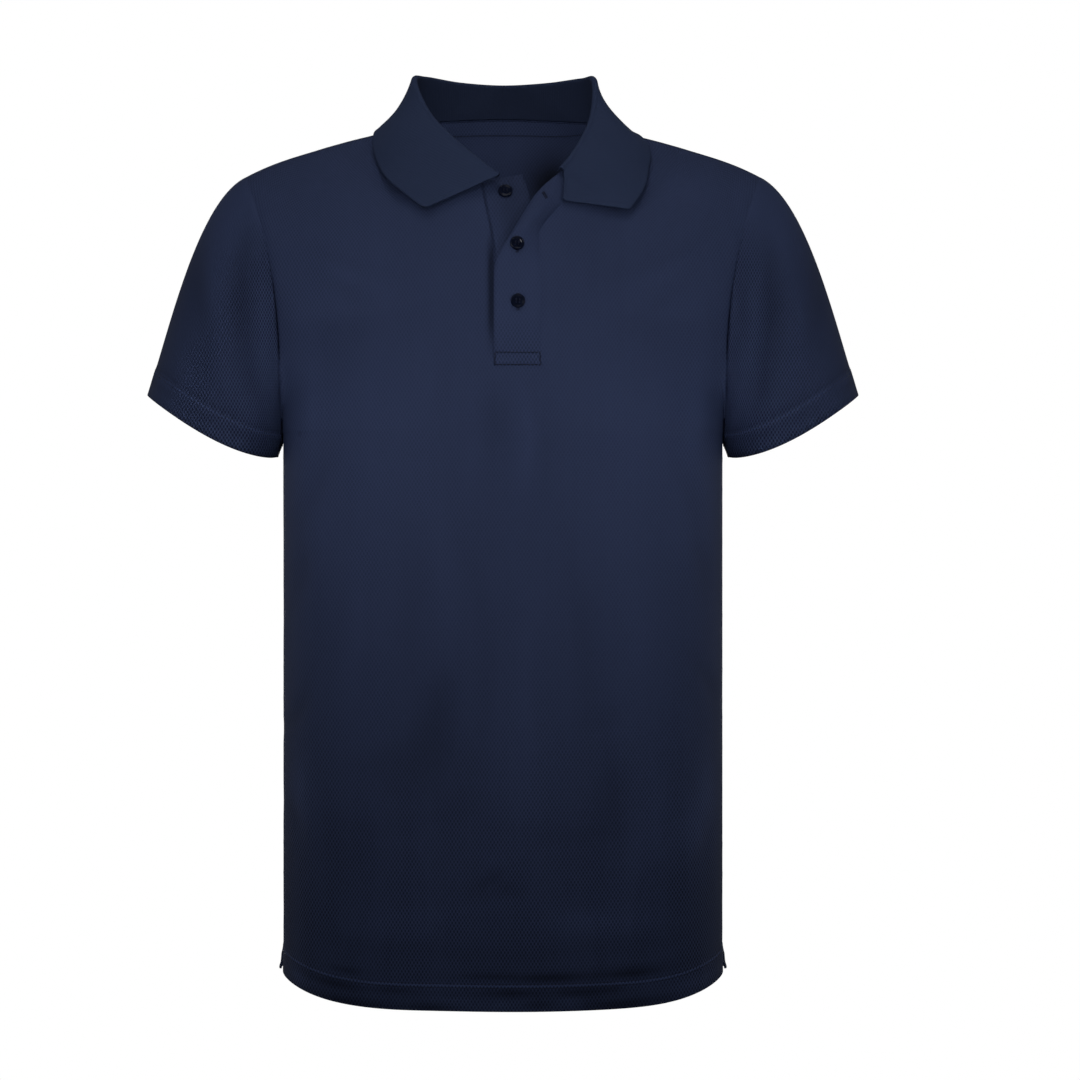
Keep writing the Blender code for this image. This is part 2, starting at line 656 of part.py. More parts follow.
# ---------------------------------------------------------------- collar

def neck_point(turn):
    """The neckline at a turn in degrees: 0 front, -90 wearer's right, -180 nape, -270 left."""
    folded = (np.asarray(turn, float) + 180) % 360 - 180
    size = np.abs(folded)
    front = size <= 90
    angle = np.radians(np.where(front, size, 180 - size))
    x_front, z_front = neckline(-1, angle)
    x_back, z_back = neckline(1, angle)
    x = np.where(front, x_front, x_back) * np.sign(np.where(folded == 0, 1, folded))
    z = np.where(front, z_front, z_back)
    on_front = torso(-1, across(x, z), z)
    on_back = torso(1, across(x, z), z)
    return np.where(front[..., None], on_front, on_back)


def collar_points():
    """Middle surface of the collar: stand up from the neckline, over the roll, down the leaf."""
    rows = COLLAR_STATIONS_TABLE
    knots = np.arange(len(rows))
    at = np.linspace(0, len(rows) - 1, COLLAR_STATIONS + 1)
    turn = spline(knots, column(rows, 1), at)
    roll = stack(*(spline(knots, column(rows, index), at) for index in (2, 3, 4)))
    edge = stack(*(spline(knots, column(rows, index), at) for index in (5, 6, 7)))
    bulge = spline(knots, column(rows, 8), at)
    neck = neck_point(turn)
    inwards = unit(stack(-neck[:, 0], NECK_MIDDLE_Y - neck[:, 1], 0 * turn))
    neck = neck + inwards * (COLLAR_WALL / 2 + SEAM_GAP)
    neck[:, 2] += NECK_GAP
    tangent = unit(np.gradient(roll, axis=0))

    def square_to_roll(vectors):
        return unit(vectors - np.sum(vectors * tangent, axis=1)[:, None] * tangent)

    leaf_way = square_to_roll(edge - roll)
    stand_way = square_to_roll(neck - roll)
    apex = -unit(leaf_way + stand_way)
    apart = unit(leaf_way - stand_way)
    centre = roll - apex * ROLL_RADIUS
    lines = []
    top = centre - apart * ROLL_RADIUS
    for share in np.linspace(0, 1, STAND_ROWS + 1)[:-1]:
        lines.append(neck + (top - neck) * share)
    for angle in np.linspace(0, math.pi, ROLL_ROWS + 1):
        lines.append(centre + ROLL_RADIUS * (apex * math.sin(angle) - apart * math.cos(angle)))
    start = centre + apart * ROLL_RADIUS
    for share in np.linspace(0, 1, LEAF_ROWS + 1)[1:]:
        swell = (4 * share * (1 - share) * bulge)[:, None] * apart
        lines.append(start + (edge - start) * share + swell)
    return np.stack(lines, axis=1)


def make_collar(collection):
    middle = collar_points()
    normals = grid_normals(middle, NECK_MIDDLE)
    outer = middle + normals * COLLAR_WALL / 2
    inner = middle - normals * COLLAR_WALL / 2
    return add_object(wall_mesh("collar", outer, inner), NAVY_RIB, collection)


# ---------------------------------------------------------------- placket strips and neck tape

def strip_points(rows, first, second, lifts, swell):
    """Grid of a placket strip between two edges that lie on the front, each with its own lift."""
    knots = np.arange(len(rows))
    heights = column(rows, first + 1)
    spacing = np.concatenate([[0], np.cumsum(np.abs(np.diff(heights)))])
    at = np.interp(np.linspace(0, spacing[-1], STRIP_ROWS + 1), spacing, knots)
    read = {index: spline(knots, column(rows, index), at) for index in range(1, len(rows[0]))}
    lines = []
    for share in np.linspace(0, 1, STRIP_COLUMNS + 1):
        x = read[first] * (1 - share) + read[second] * share
        z = read[first + 1] * (1 - share) + read[second + 1] * share
        lift = read[lifts[0]] * (1 - share) + read[lifts[1]] * share
        if swell:
            lift = lift + read[swell] * math.sin(math.pi * share)
        lines.append(on_torso(-1, x, z, lift)[0])
    return np.stack(lines, axis=0)


def make_strip(name, grid, collection):
    normals = grid_normals(grid, BODY_MIDDLE)
    return add_object(wall_mesh(name, grid, grid - normals * PLACKET_WALL), NAVY_MESH, collection)


def top_strip_points():
    grid = strip_points(TOP_STRIP, 1, 3, (5, 6), 7)
    grid[-1, :, 0] -= STRIP_GAP / 2
    grid[:, 0, 2] += STRIP_GAP
    return grid


def under_strip_points():
    grid = strip_points(UNDER_STRIP, 1, 3, (5, 6), None)
    grid[0, :, 0] += STRIP_GAP / 2
    return grid


def along_line(line, distances):
    """Points at the given distances along a line of points."""
    steps = np.linalg.norm(np.diff(line, axis=0), axis=1)
    run = np.concatenate([[0], np.cumsum(steps)])
    return stack(*(np.interp(distances, run, line[:, axis]) for axis in range(3)))


def make_neck_tape(back_inner, collection):
    """A band on the inner face of the back, from just under the neckline."""
    first = BACK_SHOULDER_COLUMNS + 1
    lines = back_inner[first:-first, ::-1]
    distances = TAPE_DROP + TAPE_WIDTH * np.linspace(0, 1, TAPE_ROWS + 1)
    grid = np.stack([along_line(line, distances) for line in lines], axis=0)
    normals = grid_normals(grid, NECK_MIDDLE)
    outer = grid - normals * TAPE_GAP
    mesh = wall_mesh("neck_tape", outer, outer - normals * TAPE_WALL)
    return add_object(mesh, NAVY_MESH, collection)


# ---------------------------------------------------------------- buttons

def button_blank(name, collection):
    """A dished disc, turned about its own axis."""
    radius = BUTTON_RADIUS
    top = BUTTON_THICKNESS
    profile = (
        (0, top - BUTTON_DISH),
        (radius - BUTTON_RIM - BUTTON_EDGE, top - BUTTON_DISH),
        (radius - BUTTON_RIM, top),
        (radius - BUTTON_EDGE, top),
        (radius, top - BUTTON_EDGE),
        (radius, BUTTON_EDGE),
        (radius - BUTTON_EDGE, 0),
        (0, 0),
    )
    mesh = bpy.data.meshes.new(name)
    points = [(distance, 0, height) for distance, height in profile]
    mesh.from_pydata(points, [(step, step + 1) for step in range(len(points) - 1)], [])
    button = add_object(mesh, NAVY_BUTTON, collection)
    turned = button.modifiers.new("turned", "SCREW")
    turned.steps = BUTTON_STEPS
    turned.render_steps = BUTTON_STEPS
    turned.use_merge_vertices = True
    turned.merge_threshold = 0.00005
    turned.use_smooth_shade = True
    return button


def button_drills(collection):
    """Four thread holes as one cutter mesh."""
    mesh = bpy.data.meshes.new("button_drills")
    shape = bmesh.new()
    offset = BUTTON_HOLE_SPACING / 2
    for x in (-offset, offset):
        for y in (-offset, offset):
            bmesh.ops.create_cone(
                shape,
                cap_ends=True,
                segments=BUTTON_HOLE_STEPS,
                radius1=BUTTON_HOLE_RADIUS,
                radius2=BUTTON_HOLE_RADIUS,
                depth=DRILL_LENGTH,
                matrix=Matrix.Translation((x, y, 0)),
            )
    shape.to_mesh(mesh)
    shape.free()
    drills = bpy.data.objects.new("button_drills", mesh)
    drills.hide_render = True
    drills.display_type = "WIRE"
    collection.objects.link(drills)
    return drills


def strip_face(grid, x, z):
    """The point of a strip's outer face nearest x and z, with its normal."""
    normals = grid_normals(grid, BODY_MIDDLE).reshape(-1, 3)
    points = grid.reshape(-1, 3)
    distance = np.hypot(points[:, 0] - x, points[:, 2] - z)
    weight = 1 / (distance + SEAT_SOFTENING) ** 4
    weight /= weight.sum()
    normal = unit(weight @ normals)
    base = weight @ points
    depth = base[1] + ((x - base[0]) * normal[0] + (z - base[2]) * normal[2]) / -normal[1]
    point = np.array([x, depth, z])
    near = points[distance < BUTTON_REACH]
    proud = max(0, np.max((near - point) @ normal)) if len(near) else 0
    return point + normal * proud, normal


def make_buttons(grids, collection, cutters):
    for name, x, z, strip in BUTTONS:
        point, normal = strip_face(grids[strip], x, z)
        turn = Vector((0, 0, 1)).rotation_difference(Vector(normal)).to_matrix().to_4x4()
        seat = point + normal * SEAT_GAP
        place = Matrix.Translation(seat) @ turn
        button = button_blank(name, collection)
        button.matrix_world = place
        drills = button_drills(cutters)
        drills.name = name + "_drills"
        drills.matrix_world = place
        cut = button.modifiers.new("thread holes", "BOOLEAN")
        cut.operation = "DIFFERENCE"
        cut.object = drills


# ---------------------------------------------------------------- the shirt

def clear_scene():
    for item in list(bpy.data.objects):
        bpy.data.objects.remove(item)


def main():
    clear_scene()
    shirt = bpy.data.collections.new("polo_shirt")
    cutters = bpy.data.collections.new("cutters")
    bpy.context.scene.collection.children.link(shirt)
    bpy.context.scene.collection.children.link(cutters)
    make_front(shirt)
    back_inner = make_back(shirt)
    make_sleeve("sleeve_left", 1, shirt)
    make_sleeve("sleeve_right", -1, shirt)
    make_collar(shirt)
    top = top_strip_points()
    under = under_strip_points()
    make_strip("placket_top", top, shirt)
    make_strip("placket_under", under, shirt)
    make_neck_tape(back_inner, shirt)
    make_buttons({"top": top, "under": under}, shirt, cutters)


main()
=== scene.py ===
import math

import bmesh
import bpy
import numpy as np
from mathutils import Matrix, Vector


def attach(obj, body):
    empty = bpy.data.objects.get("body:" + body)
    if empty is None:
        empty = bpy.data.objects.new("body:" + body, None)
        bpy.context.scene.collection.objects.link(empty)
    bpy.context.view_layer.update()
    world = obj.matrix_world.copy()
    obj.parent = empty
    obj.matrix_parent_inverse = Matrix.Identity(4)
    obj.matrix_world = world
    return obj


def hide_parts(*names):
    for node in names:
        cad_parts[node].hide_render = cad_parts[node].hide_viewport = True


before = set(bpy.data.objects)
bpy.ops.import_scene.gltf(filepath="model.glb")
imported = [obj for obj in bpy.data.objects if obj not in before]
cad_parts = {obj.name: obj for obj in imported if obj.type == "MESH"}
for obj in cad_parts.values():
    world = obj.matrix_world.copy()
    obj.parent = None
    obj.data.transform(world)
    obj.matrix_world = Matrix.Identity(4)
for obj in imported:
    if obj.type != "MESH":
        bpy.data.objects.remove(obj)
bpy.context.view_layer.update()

# Metres throughout. The wearer faces -Y, +X is the wearer's left, and z is measured from the
# shoulder-neck points.


# Camera, light and floor

studio = {
    "cameraDistance": 2.6,
    "cameraHeight": -0.3317,
    "frameWidth": 0.889,  # how much the frame takes in where the shirt hangs
    "shiftX": 0.0343,
    "sensorWidth": 36,
    "floorHeight": -0.86,
    "floorSize": 30,
    "roomLight": 0.194,  # what the white room gives from all round
    "lights": (
        # name          place                    aims at                 width  height  spread  watts
        ("keyStrip",    (0.0, -1.30, -0.25),     (0.0, 0.0, -0.25),      1.60,  0.20,   60,     0.96),
        ("highKey",     (-0.10, -1.15, 0.70),    (0.0, -0.10, -0.16),    0.24,  0.16,   60,     0.262),
        ("overhead",    (0.0, -0.30, 1.30),      (0.0, 0.05, 0.0),       0.70,  0.50,   180,    5.65),
        ("rightSpot",   (-1.10, -0.90, -0.15),   (0.05, -0.10, -0.18),   0.14,  0.14,   50,     0.233),
        ("leftSpot",    (1.10, -0.90, -0.15),    (-0.05, -0.10, -0.18),  0.14,  0.14,   50,     0.28),
        ("rightArm",    (0.10, -1.20, -0.26),    (-0.20, -0.05, -0.25),  0.15,  0.15,   14,     0.0325),
        ("leftArm",     (-0.10, -1.20, -0.26),   (0.20, -0.05, -0.25),   0.15,  0.15,   14,     0.0324),
        ("rightSide",   (-1.40, 0.80, -0.35),    (0.0, 0.0, -0.40),      0.80,  1.00,   120,    1.2),
        ("leftSide",    (1.40, 0.80, -0.35),     (0.0, 0.0, -0.40),      0.80,  1.00,   120,    1.2),
        ("behind",      (0.0, 1.70, -0.10),      (0.0, 0.0, -0.32),      1.40,  1.00,   120,    9),
        ("neckFill",    (-0.045, -0.02, -0.13),  (-0.02, 0.09, -0.03),   0.10,  0.04,   150,    0.0863),
    ),
}


def addObject(name, data):
    made = bpy.data.objects.new(name, data)
    bpy.context.scene.collection.objects.link(made)
    return made


def hexToLinear(code):
    parts = [int(code[place:place + 2], 16) / 255 for place in (1, 3, 5)]
    linear = [part / 12.92 if part <= 0.04045 else ((part + 0.055) / 1.055) ** 2.4 for part in parts]
    return (*linear, 1.0)


def addNode(tree, kind, inputs=None, **settings):
    node = tree.nodes.new(kind)
    for name, value in settings.items():
        setattr(node, name, value)
    for socket, value in (inputs or {}).items():
        if isinstance(value, bpy.types.NodeSocket):
            tree.links.new(value, node.inputs[socket])
        else:
            node.inputs[socket].default_value = value
    return node


def makeCamera():
    data = bpy.data.cameras.new("photoCamera")
    data.sensor_width = studio["sensorWidth"]
    data.lens = studio["sensorWidth"] * studio["cameraDistance"] / studio["frameWidth"]
    data.shift_x = studio["shiftX"]
    camera = addObject("photoCamera", data)
    camera.location = (0, -studio["cameraDistance"], studio["cameraHeight"])
    camera.rotation_euler = (math.pi / 2, 0, 0)
    bpy.context.scene.camera = camera


def makeLights():
    for name, place, target, width, height, spread, watts in studio["lights"]:
        data = bpy.data.lights.new(name, "AREA")
        data.shape = "RECTANGLE"
        data.size = width
        data.size_y = height
        data.spread = math.radians(spread)
        data.energy = watts
        light = addObject(name, data)
        light.location = place
        light.rotation_euler = (Vector(target) - Vector(place)).to_track_quat("-Z", "Y").to_euler()
        light.visible_camera = False


def makeRoom():
    world = bpy.data.worlds.new("whiteRoom")
    world.use_nodes = True
    bpy.context.scene.world = world
    bpy.context.scene.view_settings.view_transform = "Standard"
    tree = world.node_tree
    tree.nodes.clear()
    given, seen = (
        addNode(tree, "ShaderNodeBackground", {"Color": (1, 1, 1, 1), "Strength": strength}).outputs[0]
        for strength in (studio["roomLight"], 1.0)
    )
    path = addNode(tree, "ShaderNodeLightPath")
    both = addNode(tree, "ShaderNodeMixShader", {0: path.outputs["Is Camera Ray"], 1: given, 2: seen})
    addNode(tree, "ShaderNodeOutputWorld", {"Surface": both.outputs[0]})


def makeFloor():
    bpy.ops.object.select_all(action="DESELECT")
    bpy.ops.mesh.primitive_plane_add(size=studio["floorSize"], location=(0, 0, studio["floorHeight"]))
    floor = bpy.context.object
    floor.name = "paleFloor"
    # Seamless white paper, lit until it is as white as the room.
    paper = bpy.data.materials.new("whitePaperFloor")
    paper.use_nodes = True
    paper.node_tree.nodes.clear()
    glow = addNode(paper.node_tree, "ShaderNodeEmission", {"Color": (1, 1, 1, 1), "Strength": 1.0})
    addNode(paper.node_tree, "ShaderNodeOutputMaterial", {"Surface": glow.outputs[0]})
    floor.data.materials.append(paper)
    floor.visible_diffuse = False
    floor.visible_glossy = False


makeCamera()
makeLights()
makeRoom()
makeFloor()
print("camera, lights and floor are in place")


# Materials

fabric = {
    "navyYarn": "#2b344f",  # polyester yarn, dyed navy
    "eyeletShade": "#0f1525",  # the same yarn seen down an eyelet
    "collarYarn": "#262f46",
    "collarShade": "#1b2338",
    "threadColour": "#0e142a",
    "threadShade": "#070b1a",
    "buttonResin": "#050813",
    "buttonSwirl": "#0a1022",
    "eyeletAcross": 0.00275,  # distance between eyelets in a row
    "eyeletDown": 0.00457,  # distance between every other row
    "eyeletEdge": (-0.45, 0.75),  # where an eyelet's soft edge starts and ends
    "eyeletStreaks": (46.0, 13.0, 1.0),
    "eyeletUneven": (0.86, 1.10),
    "fuzz": 0.35,  # how far the fibres stand up, against an eyelet's depth
    "yarnGrain": 0.0008,
    "collarRib": 0.0017,
    "collarCourse": 0.0011,
    "threadTwist": 520.0,
    "resinSwirl": 260.0,
    "resinRoughness": (0.03, 0.06),
    # bump strength, bump depth, roughness and shine
    "meshSurface": (0.55, 0.0006, 0.75, 0.05),
    "knitSurface": (0.25, 0.0002, 0.8, 0.05),
    "threadSurface": (0.4, 0.0001, 0.6, 0.15),
}


def newMaterial(name):
    material = bpy.data.materials.new(name)
    material.use_nodes = True
    return material, material.node_tree, material.node_tree.nodes["Principled BSDF"]


def clothPlace(tree):
    place = addNode(tree, "ShaderNodeUVMap", uv_map="cloth").outputs[0]
    split = addNode(tree, "ShaderNodeSeparateXYZ", {0: place})
    return place, split.outputs["X"], split.outputs["Y"]


def addMath(tree, operation, first, second=0.0, **settings):
    inputs = {0: first, 1: second}
    return addNode(tree, "ShaderNodeMath", inputs, operation=operation, **settings).outputs[0]


def addProduct(tree, first, second):
    return addMath(tree, "MULTIPLY", first, second, use_clamp=True)


def addCosine(tree, source, pitch):
    return addMath(tree, "COSINE", addMath(tree, "MULTIPLY", source, 2 * math.pi / pitch))


def addBlend(tree, share, first, second, way="MIX"):
    inputs = {"Factor": share, 6: first, 7: second}
    return addNode(tree, "ShaderNodeMix", inputs, data_type="RGBA", blend_type=way).outputs[2]


def addRange(tree, value, lowest, highest, low, high, **settings):
    inputs = {"Value": value, "From Min": lowest, "From Max": highest, "To Min": low, "To Max": high}
    return addNode(tree, "ShaderNodeMapRange", inputs, **settings).outputs[0]


def addNoise(tree, place, scale, detail):
    inputs = {"Vector": place, "Scale": scale, "Detail": detail}
    return addNode(tree, "ShaderNodeTexNoise", inputs, noise_dimensions="2D").outputs[0]


def addHeld(tree, label):
    # a value held by the cloth's points
    return addNode(tree, "ShaderNodeAttribute", attribute_name=label).outputs["Fac"]


def addSurface(tree, shader, colour, height, strength, depth, roughness, shine):
    bump = addNode(tree, "ShaderNodeBump", {"Height": height, "Strength": strength, "Distance": depth})
    tree.links.new(colour, shader.inputs["Base Color"])
    tree.links.new(bump.outputs[0], shader.inputs["Normal"])
    shader.inputs["Roughness"].default_value = roughness
    shader.inputs["Specular IOR Level"].default_value = shine


def makeEyeletMesh():
    # Polyester eyelet mesh, circular-knitted and dyed: matt, with rows of staggered diamond holes.
    material, tree, shader = newMaterial("eyeletMeshPolyester")
    place, x, y = clothPlace(tree)
    level = addCosine(tree, x, fabric["eyeletAcross"])
    lattice = addMath(tree, "MULTIPLY", level, addCosine(tree, y, fabric["eyeletDown"]))
    eyelet = addRange(tree, lattice, *fabric["eyeletEdge"], 0.0, 1.0, interpolation_type="SMOOTHSTEP")
    inputs = {0: place, 1: fabric["eyeletStreaks"]}
    streaks = addNode(tree, "ShaderNodeVectorMath", inputs, operation="MULTIPLY").outputs[0]
    uneven = addRange(tree, addNoise(tree, streaks, 1.0, 2.0), 0.35, 0.65, *fabric["eyeletUneven"])
    holes = addProduct(tree, eyelet, addProduct(tree, addHeld(tree, "meshOpen"), uneven))
    grain = addNoise(tree, place, 1 / fabric["yarnGrain"], 1.0)
    shade = hexToLinear(fabric["eyeletShade"])
    fibres = addRange(tree, grain, 0.3, 0.7, 0.0, 0.2)
    yarn = addBlend(tree, fibres, hexToLinear(fabric["navyYarn"]), shade)
    # painted light and shade held by the cloth's points: sunk folds, puckers and shaded corners are darker,
    # stitched ridges paler
    colour = addBlend(tree, 1.0, addBlend(tree, holes, yarn, shade), addHeld(tree, "tone"), "MULTIPLY")
    height = addMath(tree, "SUBTRACT", addMath(tree, "MULTIPLY", grain, fabric["fuzz"]), holes)
    addSurface(tree, shader, colour, height, *fabric["meshSurface"])
    return material


def makeFlatKnit():
    # Flat-knitted collar fabric: close fine ribs, smoother and denser than the mesh.
    material, tree, shader = newMaterial("flatKnitCollar")
    place, x, y = clothPlace(tree)
    courses = addMath(tree, "MULTIPLY", addCosine(tree, y, fabric["collarCourse"]), 0.3)
    knit = addMath(tree, "ADD", addCosine(tree, x, fabric["collarRib"]), courses)
    grain = addNoise(tree, place, 1 / fabric["yarnGrain"], 2.0)
    furrow = addProduct(tree, addRange(tree, knit, 1.3, -1.3, 0.0, 0.75), addHeld(tree, "meshOpen"))
    share = addMath(tree, "ADD", furrow, addRange(tree, grain, 0.3, 0.7, 0.0, 0.16))
    yarn = addBlend(tree, share, hexToLinear(fabric["collarYarn"]), hexToLinear(fabric["collarShade"]))
    # painted shade: the shut-away stand, and a line along the leaf's edge, are darker
    colour = addBlend(tree, 1.0, yarn, addHeld(tree, "tone"), "MULTIPLY")
    addSurface(tree, shader, colour, addMath(tree, "ADD", knit, grain), *fabric["knitSurface"])
    return material


def makeThread():
    # Spun polyester sewing thread: twisted, a little shinier than the cloth.
    material, tree, shader = newMaterial("spunPolyesterThread")
    place = addNode(tree, "ShaderNodeTexCoord").outputs["Object"]
    inputs = {"Vector": place, "Scale": fabric["threadTwist"], "Distortion": 1.0}
    wave = addNode(tree, "ShaderNodeTexWave", inputs, wave_type="BANDS", bands_direction="DIAGONAL")
    twist = wave.outputs["Fac"]
    colour = addBlend(tree, twist, hexToLinear(fabric["threadShade"]), hexToLinear(fabric["threadColour"]))
    addSurface(tree, shader, colour, twist, *fabric["threadSurface"])
    return material


def makeButtonResin():
    # Cast polyester resin, turned and tumble-polished: dark, even and glossy, with faint swirls.
    material, tree, shader = newMaterial("castPolyesterResin")
    place = addNode(tree, "ShaderNodeTexCoord").outputs["Object"]
    inputs = {"Vector": place, "Scale": fabric["resinSwirl"], "Detail": 2.0, "Distortion": 1.5}
    swirl = addNode(tree, "ShaderNodeTexNoise", inputs).outputs[0]
    colour = addBlend(tree, swirl, hexToLinear(fabric["buttonResin"]), hexToLinear(fabric["buttonSwirl"]))
    roughness = addRange(tree, swirl, 0.3, 0.7, *fabric["resinRoughness"])
    tree.links.new(colour, shader.inputs["Base Color"])
    tree.links.new(roughness, shader.inputs["Roughness"])
    shader.inputs["IOR"].default_value = 1.5
    shader.inputs["Specular IOR Level"].default_value = 0.07
    return material


meshCloth = makeEyeletMesh()
collarCloth = makeFlatKnit()
thread = makeThread()
resin = makeButtonResin()
print("materials are made")


# The body's form: the same sections, shoulder line and folds as the solids. Front is -1, back is 1.

body = {
    "wall": 0.0009,
    "hemWall": 0.0016,  # two layers of cloth in the turned-up hem
    "underarmZ": -0.245,
    "shoulderTipZ": -0.0320,
    "hemCentreZ": -0.7025,
    "hemSideZ": -0.6840,
    "hemCornerPower": 5.5,
    "ventTopZ": -0.659,
    "ventFlare": 0.004,
    "halfWidth": 0.180,
    "shoulderHalfWidth": 0.212,
    "armholePower": 3.0,
    "sectionPower": 0.75,
    "openSection": 0.62,
    "openingShare": 0.6,  # how far up the armhole the section has opened
    "shoulderY": 0.010,
    "armholeDepth": {-1: 0.060, 1: 0.068},
    "arch": {-1: (2.0, 1.12), 1: (2.0, 2.0)},
    "fadeShare": 0.4,
    "fadePower": 5,
    "hemStitchHeight": 0.0200,  # twin rows above the hem's edge
    "hemStitchApart": 0.0030,
    "puckerShade": 0.12,
    "ridgeHighlight": 0.80,  # painted highlight: how much paler the cloth is along the stitched ridge
    "ridgeHalf": 0.0012,
    "seamLap": 0.00015,  # how far the walls run into each other at a sewn seam
    "ventLap": 0.0020,  # how far the back reaches in front of the front's edge at a vent
    "seamDip": (0.0010, 0.0016),  # depth and half width of the valley along a sewn seam
    "seamPucker": 0.00045,
    "shoulderDip": (0.0007, 0.0015),
    "collarLift": 0.0016,  # how far the neck seam's layers lift the shoulder beside the collar
    "slotDip": (0.0022, 0.0034),  # the front drawn in beside the placket's free edge
}

neckSizes = {
    "halfWidth": 0.078,
    "sideZ": 0.0120,
    "middleZ": {-1: -0.0420, 1: 0.0225},
    "power": {-1: 0.75, 1: 1.3},
}

# height, depth in front of and behind the side seams
torsoSections = (
    (-0.703, 0.1180, 0.1220),
    (-0.600, 0.1195, 0.1240),
    (-0.450, 0.1190, 0.1200),
    (-0.330, 0.1205, 0.1250),
    (-0.245, 0.1220, 0.1290),
    (0.060, 0.1220, 0.1290),
)

# shoulder line: x, height
shoulderLine = (
    (0.0000, 0.0500),
    (0.0400, 0.0415),
    (0.0650, 0.0235),
    (0.0780, 0.0120),
    (0.1045, 0.0022),
    (0.1506, -0.0090),
    (0.1980, -0.0252),
    (0.2120, -0.0320),
)

# large soft folds, as in the solids: x, height, half width, half height, depth
broadFolds = {
    -1: (
        (-0.098, -0.520, 0.034, 0.190, 0.0030),
        (-0.050, -0.560, 0.028, 0.170, -0.0026),
        (0.022, -0.540, 0.034, 0.190, 0.0022),
        (0.088, -0.500, 0.030, 0.200, -0.0028),
        (0.128, -0.540, 0.026, 0.150, 0.0026),
        (-0.140, -0.270, 0.024, 0.080, -0.0024),
        (0.140, -0.270, 0.024, 0.080, -0.0024),
    ),
    1: (
        (-0.090, -0.330, 0.036, 0.180, 0.0030),
        (0.085, -0.340, 0.036, 0.170, 0.0030),
        (0.004, -0.420, 0.036, 0.200, -0.0036),
        (-0.060, -0.580, 0.028, 0.130, 0.0024),
        (0.066, -0.600, 0.030, 0.120, 0.0024),
    ),
}

# small creases: x, z, half length, half width, turn, depth; a trough below 0 and a ridge above
frontCreases = (
    (-0.004, -0.238, 0.020, 0.006, 91, -0.0008),
    (0.021, -0.252, 0.036, 0.006, 90, 0.0010),
    (0.034, -0.262, 0.036, 0.006, 93, -0.0006),
    (-0.022, -0.250, 0.040, 0.008, 87, 0.0006),
    (-0.140, -0.105, 0.034, 0.006, -28, -0.0008),
    (-0.128, -0.118, 0.036, 0.008, -30, 0.0006),
    (-0.122, -0.136, 0.030, 0.006, -34, -0.0006),
    (0.139, -0.104, 0.034, 0.006, 30, -0.0008),
    (0.127, -0.120, 0.036, 0.008, 32, 0.0006),
    (0.131, -0.140, 0.026, 0.006, 36, -0.0006),
    (-0.157, -0.215, 0.060, 0.014, 90, 0.0013),
    (0.157, -0.212, 0.060, 0.013, 90, 0.0012),
    (-0.150, -0.292, 0.030, 0.009, 70, -0.0012),
    (0.153, -0.300, 0.032, 0.009, 108, -0.0012),
    (-0.162, -0.360, 0.028, 0.008, 80, -0.0013),
    (0.162, -0.352, 0.026, 0.008, 100, -0.0012),
    (-0.066, -0.062, 0.036, 0.010, -32, -0.0006),
    (0.090, -0.068, 0.036, 0.010, 30, -0.0006),
    (-0.072, -0.395, 0.080, 0.010, 86, -0.0008),
    (-0.046, -0.380, 0.080, 0.010, 90, 0.0006),
    (-0.012, -0.430, 0.080, 0.008, 91, -0.0007),
    (0.018, -0.420, 0.080, 0.010, 89, 0.0006),
    (0.066, -0.420, 0.080, 0.010, 93, -0.0007),
    (0.104, -0.410, 0.080, 0.012, 94, 0.0007),
    (-0.118, -0.400, 0.070, 0.012, 85, 0.0007),
    (-0.052, -0.462, 0.030, 0.013, 80, -0.0011),
    (-0.060, -0.502, 0.034, 0.020, 70, -0.0016),
    (-0.100, -0.510, 0.026, 0.012, 20, -0.0007),
    (0.020, -0.520, 0.050, 0.020, 88, 0.0008),
    (0.088, -0.532, 0.036, 0.011, 86, -0.0014),
    (0.082, -0.474, 0.016, 0.009, 10, -0.0007),
    (-0.009, -0.598, 0.014, 0.0045, 38, -0.0015),
    (0.003, -0.606, 0.010, 0.0045, -40, -0.0013),
    (-0.004, -0.587, 0.012, 0.005, 4, 0.0007),
    (-0.090, -0.560, 0.050, 0.007, 4, -0.0006),
    (0.040, -0.566, 0.060, 0.007, -3, -0.0006),
    (-0.050, -0.628, 0.060, 0.009, 6, 0.0007),
    (0.058, -0.634, 0.050, 0.009, -8, 0.0007),
    (0.104, -0.590, 0.030, 0.010, 80, 0.0008),
    (-0.110, -0.655, 0.050, 0.007, -8, -0.0007),
    (0.110, -0.655, 0.045, 0.007, 9, -0.0007),
    (0.000, -0.662, 0.070, 0.007, 0, -0.0008),
    (-0.165, -0.470, 0.020, 0.006, 60, -0.0012),
    (0.166, -0.445, 0.020, 0.006, 118, -0.0012),
    (-0.166, -0.560, 0.018, 0.006, 110, -0.0012),
    (0.165, -0.575, 0.020, 0.006, 70, -0.0012),
)

